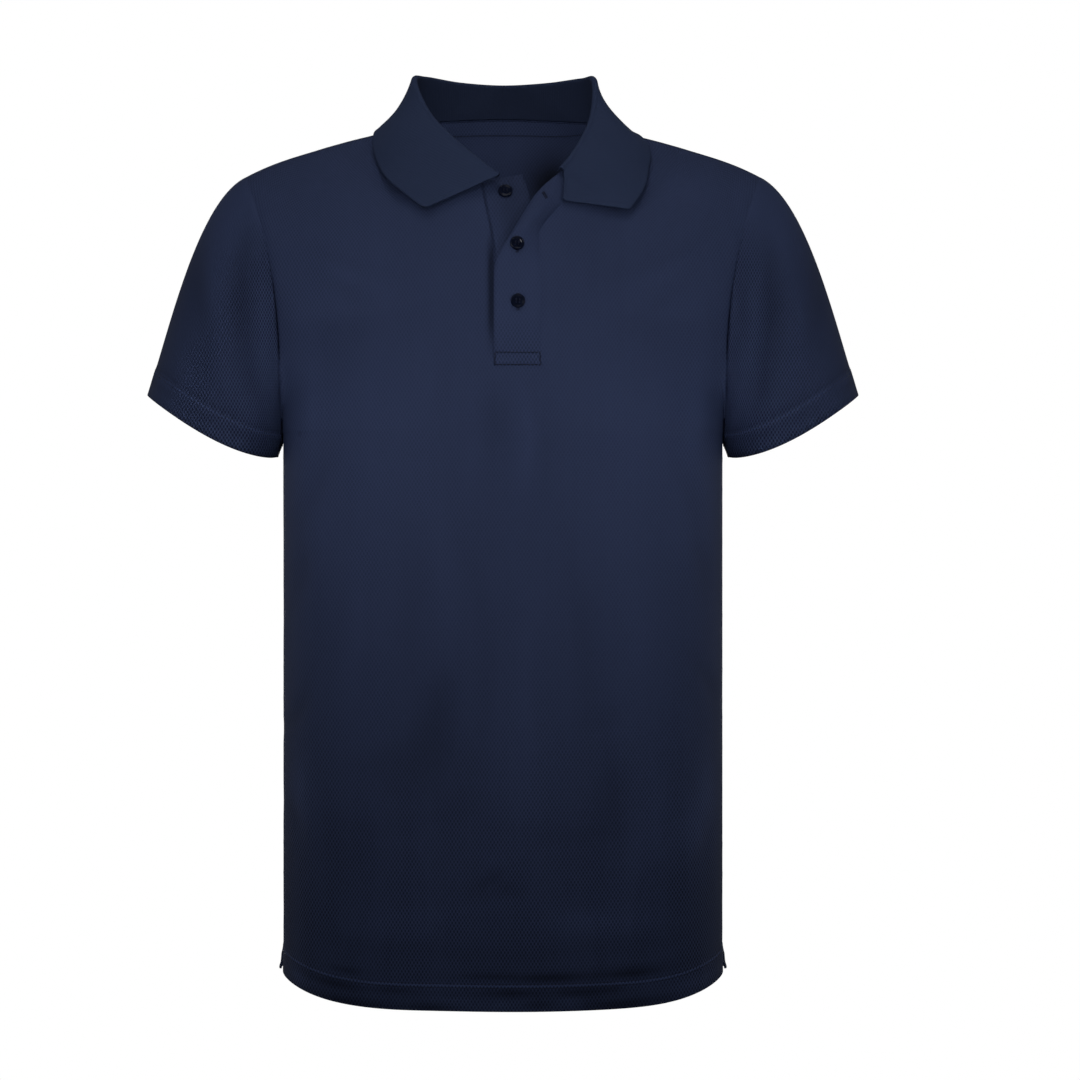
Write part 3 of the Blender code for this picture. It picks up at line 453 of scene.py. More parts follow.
backCreases = (
    (-0.130, -0.130, 0.050, 0.011, 20, -0.0014),
    (-0.120, -0.155, 0.050, 0.012, 24, 0.0011),
    (0.128, -0.128, 0.050, 0.011, 159, -0.0014),
    (0.118, -0.156, 0.048, 0.012, 155, 0.0011),
    (-0.145, -0.225, 0.045, 0.010, 136, -0.0015),
    (0.146, -0.222, 0.045, 0.010, 45, -0.0015),
    (-0.030, -0.020, 0.050, 0.012, 4, -0.0010),
    (0.035, -0.026, 0.045, 0.012, 176, -0.0009),
    (-0.045, -0.330, 0.110, 0.017, 86, 0.0016),
    (-0.010, -0.360, 0.120, 0.016, 91, -0.0018),
    (0.034, -0.350, 0.110, 0.017, 94, 0.0015),
    (0.090, -0.420, 0.100, 0.018, 97, -0.0014),
    (-0.095, -0.440, 0.110, 0.018, 84, -0.0015),
    (-0.135, -0.400, 0.080, 0.013, 80, 0.0012),
    (0.137, -0.405, 0.080, 0.013, 101, 0.0012),
    (-0.024, -0.520, 0.090, 0.018, 87, 0.0012),
    (0.030, -0.560, 0.080, 0.017, 92, -0.0011),
    (-0.090, -0.610, 0.060, 0.016, 90, 0.0011),
    (0.096, -0.600, 0.060, 0.016, 88, 0.0011),
)


def smoothStep(low, high, value):
    share = np.clip((np.asarray(value, float) - low) / (high - low), 0, 1)
    return share * share * (3 - 2 * share)


def between(low, high, share):
    return low + (high - low) * share


def bell(distance, half):
    return np.exp(-((distance / half) ** 2))


def bellSum(x, z, rows):
    total = np.zeros(np.broadcast(x, z).shape)
    for middle, level, half, halfHeight, depth in rows:
        total = total + depth * bell(x - middle, half) * bell(z - level, halfHeight)
    return total


def spline(knots, values, at):
    order = np.argsort(knots)
    knots = np.asarray(knots, float)[order]
    values = np.asarray(values, float)[order]
    at = np.clip(np.asarray(at, float), knots[0], knots[-1])
    steps = np.diff(knots)
    slopes = np.diff(values) / steps
    tangents = np.empty_like(values)
    tangents[0] = slopes[0]
    tangents[-1] = slopes[-1]
    tangents[1:-1] = (slopes[:-1] * steps[1:] + slopes[1:] * steps[:-1]) / (steps[:-1] + steps[1:])
    cell = np.clip(np.searchsorted(knots, at, side="right") - 1, 0, len(steps) - 1)
    step = steps[cell]
    share = (at - knots[cell]) / step
    square = share * share
    cube = square * share
    return (
        (2 * cube - 3 * square + 1) * values[cell]
        + (cube - 2 * square + share) * step * tangents[cell]
        + (3 * square - 2 * cube) * values[cell + 1]
        + (cube - square) * step * tangents[cell + 1]
    )


def readColumns(rows, knots, at):
    # every column of a table at places between its rows, each as a smooth line
    return [spline(knots, values, at) for values in zip(*rows)]


def readLine(rows, column, at, key=0):
    columns = list(zip(*rows))
    return spline(columns[key], columns[column], at)


def unit(vectors):
    return vectors / np.maximum(np.linalg.norm(vectors, axis=-1, keepdims=True), 1e-12)


def stack(x, y, z):
    return np.stack(np.broadcast_arrays(x, y, z), axis=-1).astype(float)


def riseShare(z):
    return np.clip((z - body["underarmZ"]) / (body["shoulderTipZ"] - body["underarmZ"]), 0, 1)


def halfWidth(z):
    return between(body["halfWidth"], body["shoulderHalfWidth"], riseShare(z) ** body["armholePower"])


def sectionArc(z):
    opening = smoothStep(0, body["openingShare"], riseShare(z))
    return between(1, body["openSection"], opening) * math.pi / 2


def shoulderHeight(x):
    return readLine(shoulderLine, 1, np.abs(x))


def torso(side, w, z):
    # w runs from -1 at one side seam or armhole to 1 at the other
    w = np.asarray(w, float)
    z = np.asarray(z, float)
    arc = sectionArc(z)
    x = halfWidth(z) * np.sin(w * arc) / np.sin(arc)
    share = np.clip((z - body["underarmZ"]) / (shoulderHeight(x) - body["underarmZ"]), 0, 1)
    power, root = body["arch"][side]
    depth = readLine(torsoSections, 1 if side < 0 else 2, z)
    arch = (1 - share ** power) ** (1 / root)
    end = np.cos(arc) ** body["sectionPower"]
    crown = (np.maximum(np.cos(w * arc), 0) ** body["sectionPower"] - end) / (1 - end)
    edge = body["armholeDepth"][side] * np.sqrt(4 * share * (1 - share))
    fade = between(body["fadePower"], 1, smoothStep(0, body["fadeShare"], share))
    folds = bellSum(x, z, broadFolds[side]) * crown
    y = body["shoulderY"] * share + side * (depth * arch * crown + edge * (1 - crown) ** fade + folds)
    return stack(x, y, z)


def across(x, z):
    arc = sectionArc(z)
    return np.arcsin(np.clip(x / halfWidth(z) * np.sin(arc), -1, 1)) / arc


def liftedFront(x, z, lift):
    step = 0.0005
    point = torso(-1, across(x, z), z)
    aside = torso(-1, across(x + step, z), z) - point
    below = point - torso(-1, across(x, z - step), z - step)
    return point + unit(np.cross(aside, below)) * lift[..., None]


def hemHeight(x):
    share = (np.abs(x) / body["halfWidth"]) ** body["hemCornerPower"]
    return between(body["hemCentreZ"], body["hemSideZ"], share)


def neckline(side, angle):
    fall = np.maximum(np.cos(angle), 0) ** neckSizes["power"][side]
    x = neckSizes["halfWidth"] * np.sin(angle)
    return x, between(neckSizes["sideZ"], neckSizes["middleZ"][side], fall)


# Cloth as walls between an outer and an inner grid

def gridNormals(grid, outwardFrom, closed=False):
    if closed:
        wrapped = np.concatenate([grid[-1:], grid, grid[:1]])
        along = (wrapped[2:] - wrapped[:-2]) / 2
    else:
        along = np.gradient(grid, axis=0)
    normals = unit(np.cross(along, np.gradient(grid, axis=1)))
    facing = np.sum(normals * (grid - np.asarray(outwardFrom)), axis=-1).mean()
    return normals if facing > 0 else -normals


def creaseRelief(x, z, creases):
    relief = np.zeros(np.broadcast(x, z).shape)
    for middleX, middleZ, halfLength, halfAcross, turn, depth in creases:
        way = math.radians(turn)
        along = (x - middleX) * math.cos(way) + (z - middleZ) * math.sin(way)
        aside = -(x - middleX) * math.sin(way) + (z - middleZ) * math.cos(way)
        bow = aside - 0.12 * along * along / halfLength  # each crease bows a little
        relief = relief + depth * bell(along, halfLength) * bell(bow, halfAcross)
    return relief


def pucker(run, depth, pitches=(0.0085, 0.0131, 0.0212)):
    total = 0
    for turn, pitch in enumerate(pitches):
        total = total + np.sin(2 * math.pi * run / pitch + 1.7 * turn)
    return depth * total / len(pitches)


def runAlong(grid, axis, fromEnd=False):
    # distance along the rows or the columns of a grid, from their start or their end
    if fromEnd:
        return np.flip(runAlong(np.flip(grid, axis), axis), axis)
    steps = np.linalg.norm(np.diff(grid, axis=axis), axis=-1)
    lead = np.zeros_like(np.take(steps, [0], axis=axis))
    return np.cumsum(np.concatenate([lead, steps], axis=axis), axis=axis)


def stripMap(grid):
    # metres along a strip of cloth, from its middle, and across it
    u = runAlong(grid, 0)
    return np.stack([u - u[len(grid) // 2][None, :], runAlong(grid, 1)], axis=-1)


def hangingMap(grid, middle):
    # metres round the body and down it, so that the knit hangs upright all over: u level, v down
    steps = np.diff(grid[..., :2], axis=0)
    level = np.maximum(np.abs(steps[..., 0]), 0.8 * np.linalg.norm(steps, axis=-1))
    level = np.concatenate([np.zeros((1, grid.shape[1])), np.cumsum(level, axis=0)])
    # over the shoulder the cloth lies back, so there its depth counts as well
    x, y, z = np.moveaxis(grid, -1, 0)
    lying = smoothStep(-0.10, -0.02, z) * np.clip(0.085 - np.abs(y), 0, 1)
    lying = lying * smoothStep(0.20, 0.14, np.abs(x))
    return np.stack([level - level[middle] + x[middle], z + 0.9 * lying], axis=-1)


def wallObject(
    name, outer, inner, uv, material, opened, tone, innerTone=None, keep=None, closed=False, sharp=45
):
    # a closed wall: the outer grid's faces, the inner grid's, and a rim wherever the cloth ends
    count, depth = outer.shape[:2]
    if keep is None:
        keep = np.ones((count if closed else count - 1, depth - 1), bool)
    i, j = np.nonzero(keep)

    def corners(after, depth):
        return np.stack([i * depth + j, after * depth + j, after * depth + j + 1, i * depth + j + 1], axis=1)

    ring = corners((i + 1) % count, depth)
    uvRing = corners(i + 1, uv.shape[1])
    half = count * depth
    faces = [ring, half + ring[:, ::-1]]
    uvFaces = [uvRing, uvRing[:, ::-1]]
    edges = {}
    for row, uvRow in zip(ring.tolist(), uvRing.tolist()):
        for corner in range(4):
            start, end = row[corner], row[(corner + 1) % 4]
            if (end, start) in edges:
                del edges[(end, start)]
            else:
                edges[(start, end)] = (uvRow[corner], uvRow[(corner + 1) % 4])
    if edges:
        faces.append(np.array([(end, start, half + start, half + end) for start, end in edges]))
        uvFaces.append(np.array([(second, first, first, second) for first, second in edges.values()]))
    uvFaces = np.concatenate(uvFaces)
    points = np.concatenate([outer.reshape(-1, 3), inner.reshape(-1, 3)])
    used, faces = np.unique(np.concatenate(faces), return_inverse=True)
    mesh = bpy.data.meshes.new(name)
    mesh.from_pydata(points[used].tolist(), [], faces.reshape(-1, 4).tolist())
    layer = mesh.uv_layers.new(name="cloth")
    layer.data.foreach_set("uv", uv.reshape(-1, 2)[uvFaces.reshape(-1)].astype(np.float32).reshape(-1))
    innerTone = tone if innerTone is None else innerTone
    for label, sides in (("meshOpen", (opened, opened)), ("tone", (tone, innerTone))):
        spread = np.concatenate([np.broadcast_to(side, outer.shape[:2]).reshape(-1) for side in sides])
        held = mesh.attributes.new(label, "FLOAT", "POINT")
        held.data.foreach_set("value", spread[used].astype(np.float32))
    shape = bmesh.new()
    shape.from_mesh(mesh)
    if shape.calc_volume(signed=True) < 0:
        bmesh.ops.reverse_faces(shape, faces=shape.faces)
    shape.to_mesh(mesh)
    shape.free()
    mesh.shade_smooth()
    mesh.set_sharp_from_angle(angle=math.radians(sharp))
    mesh.materials.append(material)
    return addObject(name, mesh)


def placePiece(piece, slot, *nodes):
    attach(piece, "root")
    if nodes:
        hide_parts(*nodes)


# Front and back panels

panel = {
    "armholeRows": 72,
    "bodyRows": 84,
    "hemToUnderarm": 0.4485,
    "slotRow": 24,  # the armhole row at the slot's foot
    "shoulderColumns": {-1: 30, 1: 26},
    "neckColumns": {-1: 34, 1: 28},  # on the wearer's right and left of the slot
    "backNeckColumns": 22,  # on each side of the middle
    "slotColumns": 8,
    # how far out from the slot its foot still bends the rows: in half necks, and in metres
    "slotReach": {-1: (1.6, 0.03), 1: (1.8, 0.07)},
    "seamLean": 3.0,  # how far the armhole's seam leans outwards under the arm
    "stripGap": 0.0006,
    "slotFootZ": -0.1948,
    "firstStep": 0.35,  # share of a step that is left at a seam
}

# rows near the hem, closest where it is stitched
hemRows = (
    0, 0.0008, 0.0020, 0.0050, 0.0090, 0.0120, 0.0145, 0.0160, 0.0170, 0.0178, 0.0185,
    0.0192, 0.0200, 0.0208, 0.0215, 0.0222, 0.0232, 0.0245, 0.0270, 0.0310,
)

# upper placket strip: free x and z, sewn x and z, how far each edge stands off the front, and the swell
topStrip = (
    (-0.0071, -0.1958, 0.0299, -0.1958, 0.0016, 0.0002, 0.0000),
    (-0.0071, -0.1838, 0.0299, -0.1838, 0.0017, 0.0002, 0.0000),
    (-0.0071, -0.1429, 0.0299, -0.1429, 0.0019, 0.0002, 0.0004),
    (-0.0070, -0.1291, 0.0299, -0.1270, 0.0022, 0.0002, 0.0008),
    (-0.0063, -0.1145, 0.0291, -0.1110, 0.0030, 0.0002, 0.0018),
    (0.0000, -0.0996, 0.0283, -0.0960, 0.0034, 0.0002, 0.0034),
    (0.0071, -0.0870, 0.0302, -0.0823, 0.0032, 0.0002, 0.0042),
    (0.0224, -0.0603, 0.0407, -0.0691, 0.0024, 0.0002, 0.0038),
    (0.0321, -0.0477, 0.0496, -0.0588, 0.0016, 0.0002, 0.0020),
    (0.0440, -0.0362, 0.0600, -0.0285, 0.0004, 0.0002, 0.0000),
)

# under placket strip: sewn x and z, free x and z, and their lifts
underStrip = (
    (-0.0071, -0.1970, 0.0280, -0.1970, -0.0018, -0.0018),
    (-0.0071, -0.1890, 0.0280, -0.1890, 0.0000, -0.0018),
    (-0.0071, -0.1429, 0.0285, -0.1429, 0.0000, -0.0018),
    (-0.0079, -0.1006, 0.0270, -0.1000, 0.0000, -0.0018),
    (-0.0150, -0.0600, 0.0222, -0.0600, 0.0000, -0.0010),
    (-0.0184, -0.0435, 0.0160, -0.0373, 0.0000, 0.0000),
)


def slotLeft(z):
    return readLine(underStrip, 0, z, key=1) - panel["stripGap"] / 2


def slotRight(z):
    return readLine(topStrip, 2, z, key=3) + panel["stripGap"] / 2


def edgeDense(inner, atStart, atEnd):
    # shares from 0 to 1 with two narrow steps at a seam, so that the seam's dip has points to follow
    parts = list(inner)
    if atStart:
        parts.insert(1, inner[1] * panel["firstStep"])
    if atEnd:
        parts.insert(-1, 1 - (1 - inner[-2]) * panel["firstStep"])
    return np.array(parts)


def gathered(count):
    # shares from 0 to 1, closer together towards the slot, where the placket's edges need more points
    return 1 - (1 - np.linspace(0, 1, count)) ** 1.5


def hemRowShares():
    near = np.array(hemRows) / panel["hemToUnderarm"]
    return np.concatenate([near, np.linspace(near[-1], 1, panel["bodyRows"])[1:]])


def armholeShares():
    return (1 - np.cos(np.linspace(0, math.pi, panel["armholeRows"] + 1))) / 2


def armholeNormal(side, turn, leanSign):
    lean = panel["seamLean"] * (1 - smoothStep(math.radians(12), math.radians(55), turn))
    return unit(stack(leanSign * lean, side * np.sin(turn), -np.cos(turn)))


def ventShare(z):
    return np.clip((body["ventTopZ"] - z) / (body["ventTopZ"] - body["hemSideZ"]), 0, 1)


def lowerRows(w, side, flare):
    x = torso(side, w, np.full_like(w, body["hemCentreZ"]))[:, 0]
    rows = []
    for share in hemRowShares():
        z = between(hemHeight(x), body["underarmZ"], share)
        row = torso(side, w, z)
        row[:, 0] += np.sign(w) * flare * ventShare(z) * smoothStep(0.75, 1, np.abs(w))
        rows.append(row)
    return rows


def topLine(side, angles):
    # the shoulder and one side of the neckline, from the armhole inwards, as distances from the middle
    columns = panel["shoulderColumns"][side] + 1
    outX = np.linspace(body["shoulderHalfWidth"], neckSizes["halfWidth"], columns)
    neckX, neckZ = neckline(side, angles)
    return np.concatenate([outX, neckX[1:]]), np.concatenate([shoulderHeight(outX), neckZ[1:]])


def frontGrid():
    slotColumns = panel["slotColumns"]
    shares = armholeShares()
    footShare = shares[panel["slotRow"]]
    foot = np.full(1, panel["slotFootZ"])
    tops, nears, evens, topShares, footEnds = [], [], [], [], []
    for side, edge in ((-1, slotLeft), (1, slotRight)):
        low = math.asin(side * float(edge(0)) / neckSizes["halfWidth"])
        angles = between(math.pi / 2, low, gathered(panel["neckColumns"][side] + 1))
        aside, z = topLine(-1, angles)
        wide, close = panel["slotReach"][side]
        top = across(aside, z)
        tops.append(z)
        nears.append(smoothStep(neckSizes["halfWidth"] * wide, close, aside))
        evens.append(edgeDense(gathered(len(aside) - 1), True, False))
        topShares.append((1 - top) / (1 - top[-1]))
        footEnds.append(float(across(edge(foot), foot)[0]))

    def joined(left, middle, right):
        return np.concatenate([left, middle[1:-1], right[::-1]])

    def columnsAt(ends, blend):
        left, right = (
            1 - (1 - side * end) * between(even, topShare, blend)
            for side, end, even, topShare in zip((-1, 1), ends, evens, topShares)
        )
        return joined(-left, np.linspace(*ends, slotColumns + 1), right)

    first = len(tops[0]) - 1
    last = first + slotColumns
    topZ = joined(tops[0], np.linspace(tops[0][-1], tops[1][-1], slotColumns + 1), tops[1])
    near = joined(nears[0], np.ones(slotColumns + 1), nears[1])
    near[first:last + 1] = 1
    footZ = between(between(body["underarmZ"], topZ, footShare), panel["slotFootZ"], near)
    rows = lowerRows(columnsAt(footEnds, 0), -1, 0)
    for step in range(1, panel["armholeRows"] + 1):
        share = shares[step]
        inSlot = step > panel["slotRow"]
        if inSlot:
            z = between(footZ, topZ, (share - footShare) / (1 - footShare))
        else:
            z = between(body["underarmZ"], footZ, share / footShare)
        ends = [
            float(across(edge(z[place] if inSlot else panel["slotFootZ"]), z[place]))
            for edge, place in ((slotLeft, first), (slotRight, last))
        ]
        rows.append(torso(-1, columnsAt(ends, smoothStep(0.05, 1, share)), z))
    grid = np.stack(rows, axis=1)
    keep = np.ones((grid.shape[0] - 1, grid.shape[1] - 1), bool)
    keep[first:last, len(hemRows) - 2 + panel["bodyRows"] + panel["slotRow"]:] = False
    return grid, keep, first + 1 + slotColumns // 2


def backGrid():
    x, z = topLine(1, np.linspace(math.pi / 2, 0, panel["backNeckColumns"] + 1))
    topX = np.concatenate([-x, x[-2::-1]])
    topZ = np.concatenate([z, z[-2::-1]])
    even = edgeDense(np.linspace(0, 1, len(topX) - 2), True, True) * 2 - 1
    topW = across(topX, topZ)
    rows = lowerRows(even, 1, body["ventFlare"])
    for share in armholeShares()[1:]:
        w = between(even, topW, smoothStep(0.05, 1, share))
        rows.append(torso(1, w, between(body["underarmZ"], topZ, share)))
    return np.stack(rows, axis=1)


# every turned-up hem
hem = {
    "aboveStitches": 0.0012,  # how far the turned-up cloth goes past its stitches
    "layer": 0.0005,  # how far it stands out
    "dent": (0.0004, 0.0008),  # depth and half width of the dent along each row of stitches
    "pucker": 0.00042,
}

# painted light and shade on the cloth: where it is folded, puckered at the hem or sewn, beside the placket
# and inside the neck
paintedShading = {
    "perFold": 95,  # tone gained or lost for each metre of a fold's height
    "foldRange": (0.72, 1.14),
    "patches": 1.25,
    "patchRange": (-0.4, 0.65),
    "aboveHem": 0.30,
    "belowHem": 0.42,
    "shoulderSeam": 0.25,
    "besideSlot": 0.55,
    "insideNeck": 1.02,
}

# how open the eyelets are: across the chest, and how much more low down and beside the arms
openness = {"chest": 0.31, "low": 0.50, "flank": 0.12}


def hemRelief(fromHem, run, sizes):
    # the turned-up hem stands out by its extra layer, is pulled in along its stitches and puckers round them
    middle = sizes["hemStitchHeight"]
    top = middle + sizes["hemStitchApart"] / 2 + hem["aboveStitches"]
    relief = hem["layer"] * (1 - smoothStep(top - 0.0010, top + 0.0012, fromHem))
    dent, half = hem["dent"]
    for offset in (-0.5, 0.5):
        relief = relief - dent * bell(fromHem - middle - offset * sizes["hemStitchApart"], half)
    relief = relief + pucker(run, hem["pucker"]) * bell(fromHem - middle * 0.8, middle * 0.5)
    doubled = 1 - smoothStep(top - 0.001, top + 0.001, fromHem)
    return relief, between(body["wall"], body["hemWall"], doubled)


# painted patches of light and shade along the body's hem, dark where it puckers and pale (below 0) where it
# lies smooth:
# x, height above the edge, half length, half height, shade
paintedHemPatches = (
    (-0.010, 0.0283, 0.020, 0.0030, 0.30),
    (0.0377, 0.0267, 0.030, 0.0040, 0.46),
    (0.1020, 0.0279, 0.026, 0.0045, 0.46),
    (-0.124, 0.0267, 0.012, 0.0020, 0.30),
    (-0.134, 0.0149, 0.022, 0.0040, 0.38),
    (-0.085, 0.0153, 0.016, 0.0030, 0.25),
    (0.0079, 0.0149, 0.022, 0.0038, 0.40),
    (0.0604, 0.0149, 0.020, 0.0045, 0.40),
    (0.0864, 0.0161, 0.012, 0.0040, 0.25),
    (-0.120, 0.0025, 0.040, 0.0032, 0.48),
    (-0.056, 0.0030, 0.018, 0.0030, 0.42),
    (0.0275, 0.0050, 0.014, 0.0040, 0.25),
    (0.0958, 0.0030, 0.036, 0.0046, 0.48),
    (-0.163, 0.0080, 0.010, 0.0070, -0.30),
    (0.1510, 0.0100, 0.022, 0.0060, -0.28),
    (-0.040, 0.0075, 0.020, 0.0030, -0.18),
    (0.0016, 0.0063, 0.012, 0.0030, -0.16),
    (0.0510, 0.0071, 0.010, 0.0035, -0.18),
)

# broad patches down the front, as slack cloth sinks out of the light and pulled cloth takes more:
# x, z, half length, half height, shade
frontPatches = (
    (-0.057, -0.505, 0.028, 0.046, 0.08),
    (-0.050, -0.452, 0.014, 0.024, 0.05),
    (-0.092, -0.520, 0.014, 0.020, 0.05),
    (-0.030, -0.538, 0.020, 0.012, 0.05),
    (0.0840, -0.552, 0.018, 0.040, 0.07),
    (0.0560, -0.570, 0.012, 0.018, 0.05),
    (-0.010, -0.607, 0.020, 0.009, 0.11),
    (-0.120, -0.575, 0.030, 0.020, 0.06),
    (0.0800, -0.634, 0.050, 0.012, -0.12),
    (-0.085, -0.638, 0.050, 0.012, -0.10),
    (0.1200, -0.560, 0.010, 0.040, -0.08),
    (-0.163, -0.536, 0.010, 0.030, -0.22),
    (0.1640, -0.540, 0.010, 0.034, -0.24),
    (0.1560, -0.566, 0.018, 0.026, -0.24),
    (0.1560, -0.316, 0.013, 0.040, -0.08),
    (-0.151, -0.316, 0.013, 0.040, -0.06),
    (0.1480, -0.046, 0.028, 0.016, -0.07),
    (0.0880, -0.115, 0.024, 0.026, 0.05),
    (-0.0100, -0.240, 0.020, 0.020, 0.05),
    (0.0150, -0.252, 0.007, 0.040, -0.06),
)


def hemTone(fromHem, run, sizes):
    # painted highlight along a hem's stitched ridge, and painted shade where it puckers above and below
    middle = sizes["hemStitchHeight"]
    blotch = 0.5 + 0.5 * np.sin(run / 0.0190 + 1.3 * np.sin(run / 0.031)) * np.sin(run / 0.0071 + 0.8)
    slow = 0.6 + 0.4 * np.sin(run / 0.052 + 0.9) * np.sin(run / 0.023 + 2.0)
    above = paintedShading["aboveHem"] * bell(fromHem - middle - 0.0060, 0.0035) * slow
    below = paintedShading["belowHem"] * bell(fromHem - middle * 0.68, 0.0042) * (0.35 + 0.65 * blotch)
    ridge = sizes["ridgeHighlight"] * bell(fromHem - middle - 0.0001, sizes["ridgeHalf"])
    return 1 + ridge - sizes["puckerShade"] * (above + below)


def patchTone(x, height, patches):
    return 1 - np.clip(paintedShading["patches"] * bellSum(x, height, patches), *paintedShading["patchRange"])


def foldTone(folds):
    # cloth sunk in a fold gets less light and its eyelets close; a ridge catches a little more
    return np.clip(1 + paintedShading["perFold"] * folds, *paintedShading["foldRange"])


def slotValley(x, z):
    # to the wearer's right of the placket's free edge the front is drawn in, so the edge shades itself
    depth, half = body["slotDip"]
    length = smoothStep(-0.192, -0.150, z) * smoothStep(-0.080, -0.108, z)
    return depth * length * bell(x + 0.0083, half)


def panelWalls(grid, side, creases):
    normals = gridNormals(grid, (0, 0, -0.30))
    low = len(hemRows) - 1 + panel["bodyRows"]
    turn = np.linspace(0, math.pi, panel["armholeRows"] + 1)
    shoulder = panel["shoulderColumns"][side] + 1
    shoulders = (slice(0, shoulder), slice(-shoulder, None))
    onShoulder = np.zeros(grid.shape[:2])
    for stretch in shoulders:
        onShoulder[stretch] = 1
    fromSeam = np.minimum(runAlong(grid, 0), runAlong(grid, 0, fromEnd=True))
    fromTop = runAlong(grid, 1, fromEnd=True)
    fromHem = runAlong(grid, 1)
    run = runAlong(grid, 0)
    x, z = grid[..., 0], grid[..., 2]
    relief, wall = hemRelief(fromHem, run, body)
    folds = creaseRelief(x, z, creases) * smoothStep(0, 0.012, fromSeam)
    relief = relief + folds
    # sewn seams: a narrow valley that runs out on top of the shoulder, with small puckers beside it
    lowOnArm = smoothStep(-0.035, -0.070, z)
    dip, half = body["seamDip"]
    relief = relief - dip * bell(fromSeam, half) * (0.15 + 0.85 * lowOnArm)
    relief = relief + pucker(fromHem, body["seamPucker"]) * bell(fromSeam - 0.006, 0.006) * lowOnArm
    dip, half = body["shoulderDip"]
    sewn = onShoulder * smoothStep(0.001, 0.020, fromSeam) * smoothStep(0.11, 0.16, np.abs(x))
    relief = relief - dip * bell(fromTop, half) * sewn
    # beside the collar the shoulder is lifted a little by the neck seam's layers
    lifted = bell(fromTop, 0.014) * bell(np.abs(x) - 0.118, 0.024) * onShoulder
    relief = relief + body["collarLift"] * lifted
    if side < 0:
        relief = relief - slotValley(x, z)
    outer = grid + normals * relief[..., None]
    for edge, sign in ((0, -1), (-1, 1)):
        normals[edge, :low] = (sign, 0, 0)
        outer[edge, :low, 1] -= side * body["seamLap"]
        if side > 0:
            outer[edge, :low, 1] -= body["ventLap"] * ventShare(grid[edge, :low, 2])
        seam = armholeNormal(side, turn[1:], 1)
        seam[:, 0] *= sign
        normals[edge, low:] = seam
    for stretch in shoulders:
        line = outer[stretch, -1]
        slope = np.gradient(line[:, 2]) / np.gradient(line[:, 0])
        normals[stretch, -1] = unit(stack(-slope, 0 * slope, 1 + 0 * slope))
    # painted light and shade: a highlight along the hem's stitched ridge, shade in its puckers and in folds,
    # patches of light and shade at the hem and down the front, and shade along the shoulder seams and beside
    # the placket's free edge
    tone = hemTone(fromHem, run, body) * foldTone(folds) * patchTone(-side * x, fromHem, paintedHemPatches)
    tone = tone * patchTone(-side * x, z, frontPatches)
    tone = tone * (1 - paintedShading["shoulderSeam"] * bell(fromTop, 0.0045) * onShoulder)
    if side < 0:
        tone = tone * (1 - paintedShading["besideSlot"] * slotValley(x + 0.0008, z) / body["slotDip"][0])
    return outer, outer - normals * wall[..., None], normals, fromHem, tone


def meshOpenness(grid):
    low = smoothStep(-0.40, -0.64, grid[..., 2])
    flank = smoothStep(0.10, 0.17, np.abs(grid[..., 0]))
    return openness["chest"] + openness["low"] * low + openness["flank"] * flank


def makePanel(name, node, side, grid, middle, creases, keep=None, innerShade=0):
    outer, inner, normals, fromHem, tone = panelWalls(grid, side, creases)
    uv = hangingMap(grid, middle)
    innerTone = tone * (1 - innerShade)
    made = wallObject(name, outer, inner, uv, meshCloth, meshOpenness(grid), tone, innerTone, keep)
    placePiece(made, "mesh_knit", node)
    return made, (outer, normals, fromHem), inner


def makeBody():
    grid, keep, middle = frontGrid()
    front, frontFace, _ = makePanel("frontPanel", "front", -1, grid, middle, frontCreases, keep)
    grid = backGrid()
    # inside, the wearer's left of the neck lies in the collar's shade
    x, z = grid[..., 0], grid[..., 2]
    shade = np.minimum(0.8, paintedShading["insideNeck"] * bell(x - 0.043, 0.020) * bell(z + 0.034, 0.026))
    middle = len(grid) // 2
    back, backFace, inner = makePanel("backPanel", "back", 1, grid, middle, backCreases, innerShade=shade)
    return frontFace, backFace, inner


frontFace, backFace, backInner = makeBody()
print("front and back are made")


# Sleeves

sleeve = {
    "cuffInner": (0.1860, -0.2638),
    "cuffOuter": (0.2922, -0.2123),
    "cuffY": 0.003,
    "cuffHalfDepth": 0.052,
    "cuffFrontDip": 0.0088,
    "cuffDipLean": 0.45,  # the front edge hangs lowest toward the body
    "cuffBackDip": 0.0040,
    "cuffCornerLift": 0.0008,  # rounds the cuff's lowest corner, under the arm
    "hemStitchHeight": 0.0203,
    "hemStitchApart": 0.0028,
    # painted shade where the cuff puckers, and a painted highlight along its stitched ridge
    "puckerShade": 0.36,
    "ridgeHighlight": 0.38,
    "edgeShade": 0.36,  # the turned edge rolls into shade
    "ridgeHalf": 0.0018,
    "frontFolds": 0.78,
    "seamDip": (0.0009, 0.0016),
    "seamPucker": 0.0005,
    "puckerPitches": (0.0092, 0.0140, 0.0230),
    "middleRows": 28,
    "mesh": (0.12, 0.88),  # how open the eyelets are on top of the arm, and how much more below
    "armShade": 0.09,
    "underArmShade": 0.55,
    "lowCornerShade": 0.42,
    "pressedShade": 0.24,  # painted shade on the top of the arm
    "lineShade": 0.20,  # painted shade in a fine line above the cuff's stitched ridge
}

# where rows lie between the armhole and the cuff, closest at the seam and at the stitched hem
firstRows = (0, 0.006, 0.014, 0.026, 0.045)
lastRows = (0.76, 0.795, 0.82, 0.837, 0.851, 0.863, 0.874, 0.885, 0.896, 0.910, 0.935, 0.965, 0.990, 1)

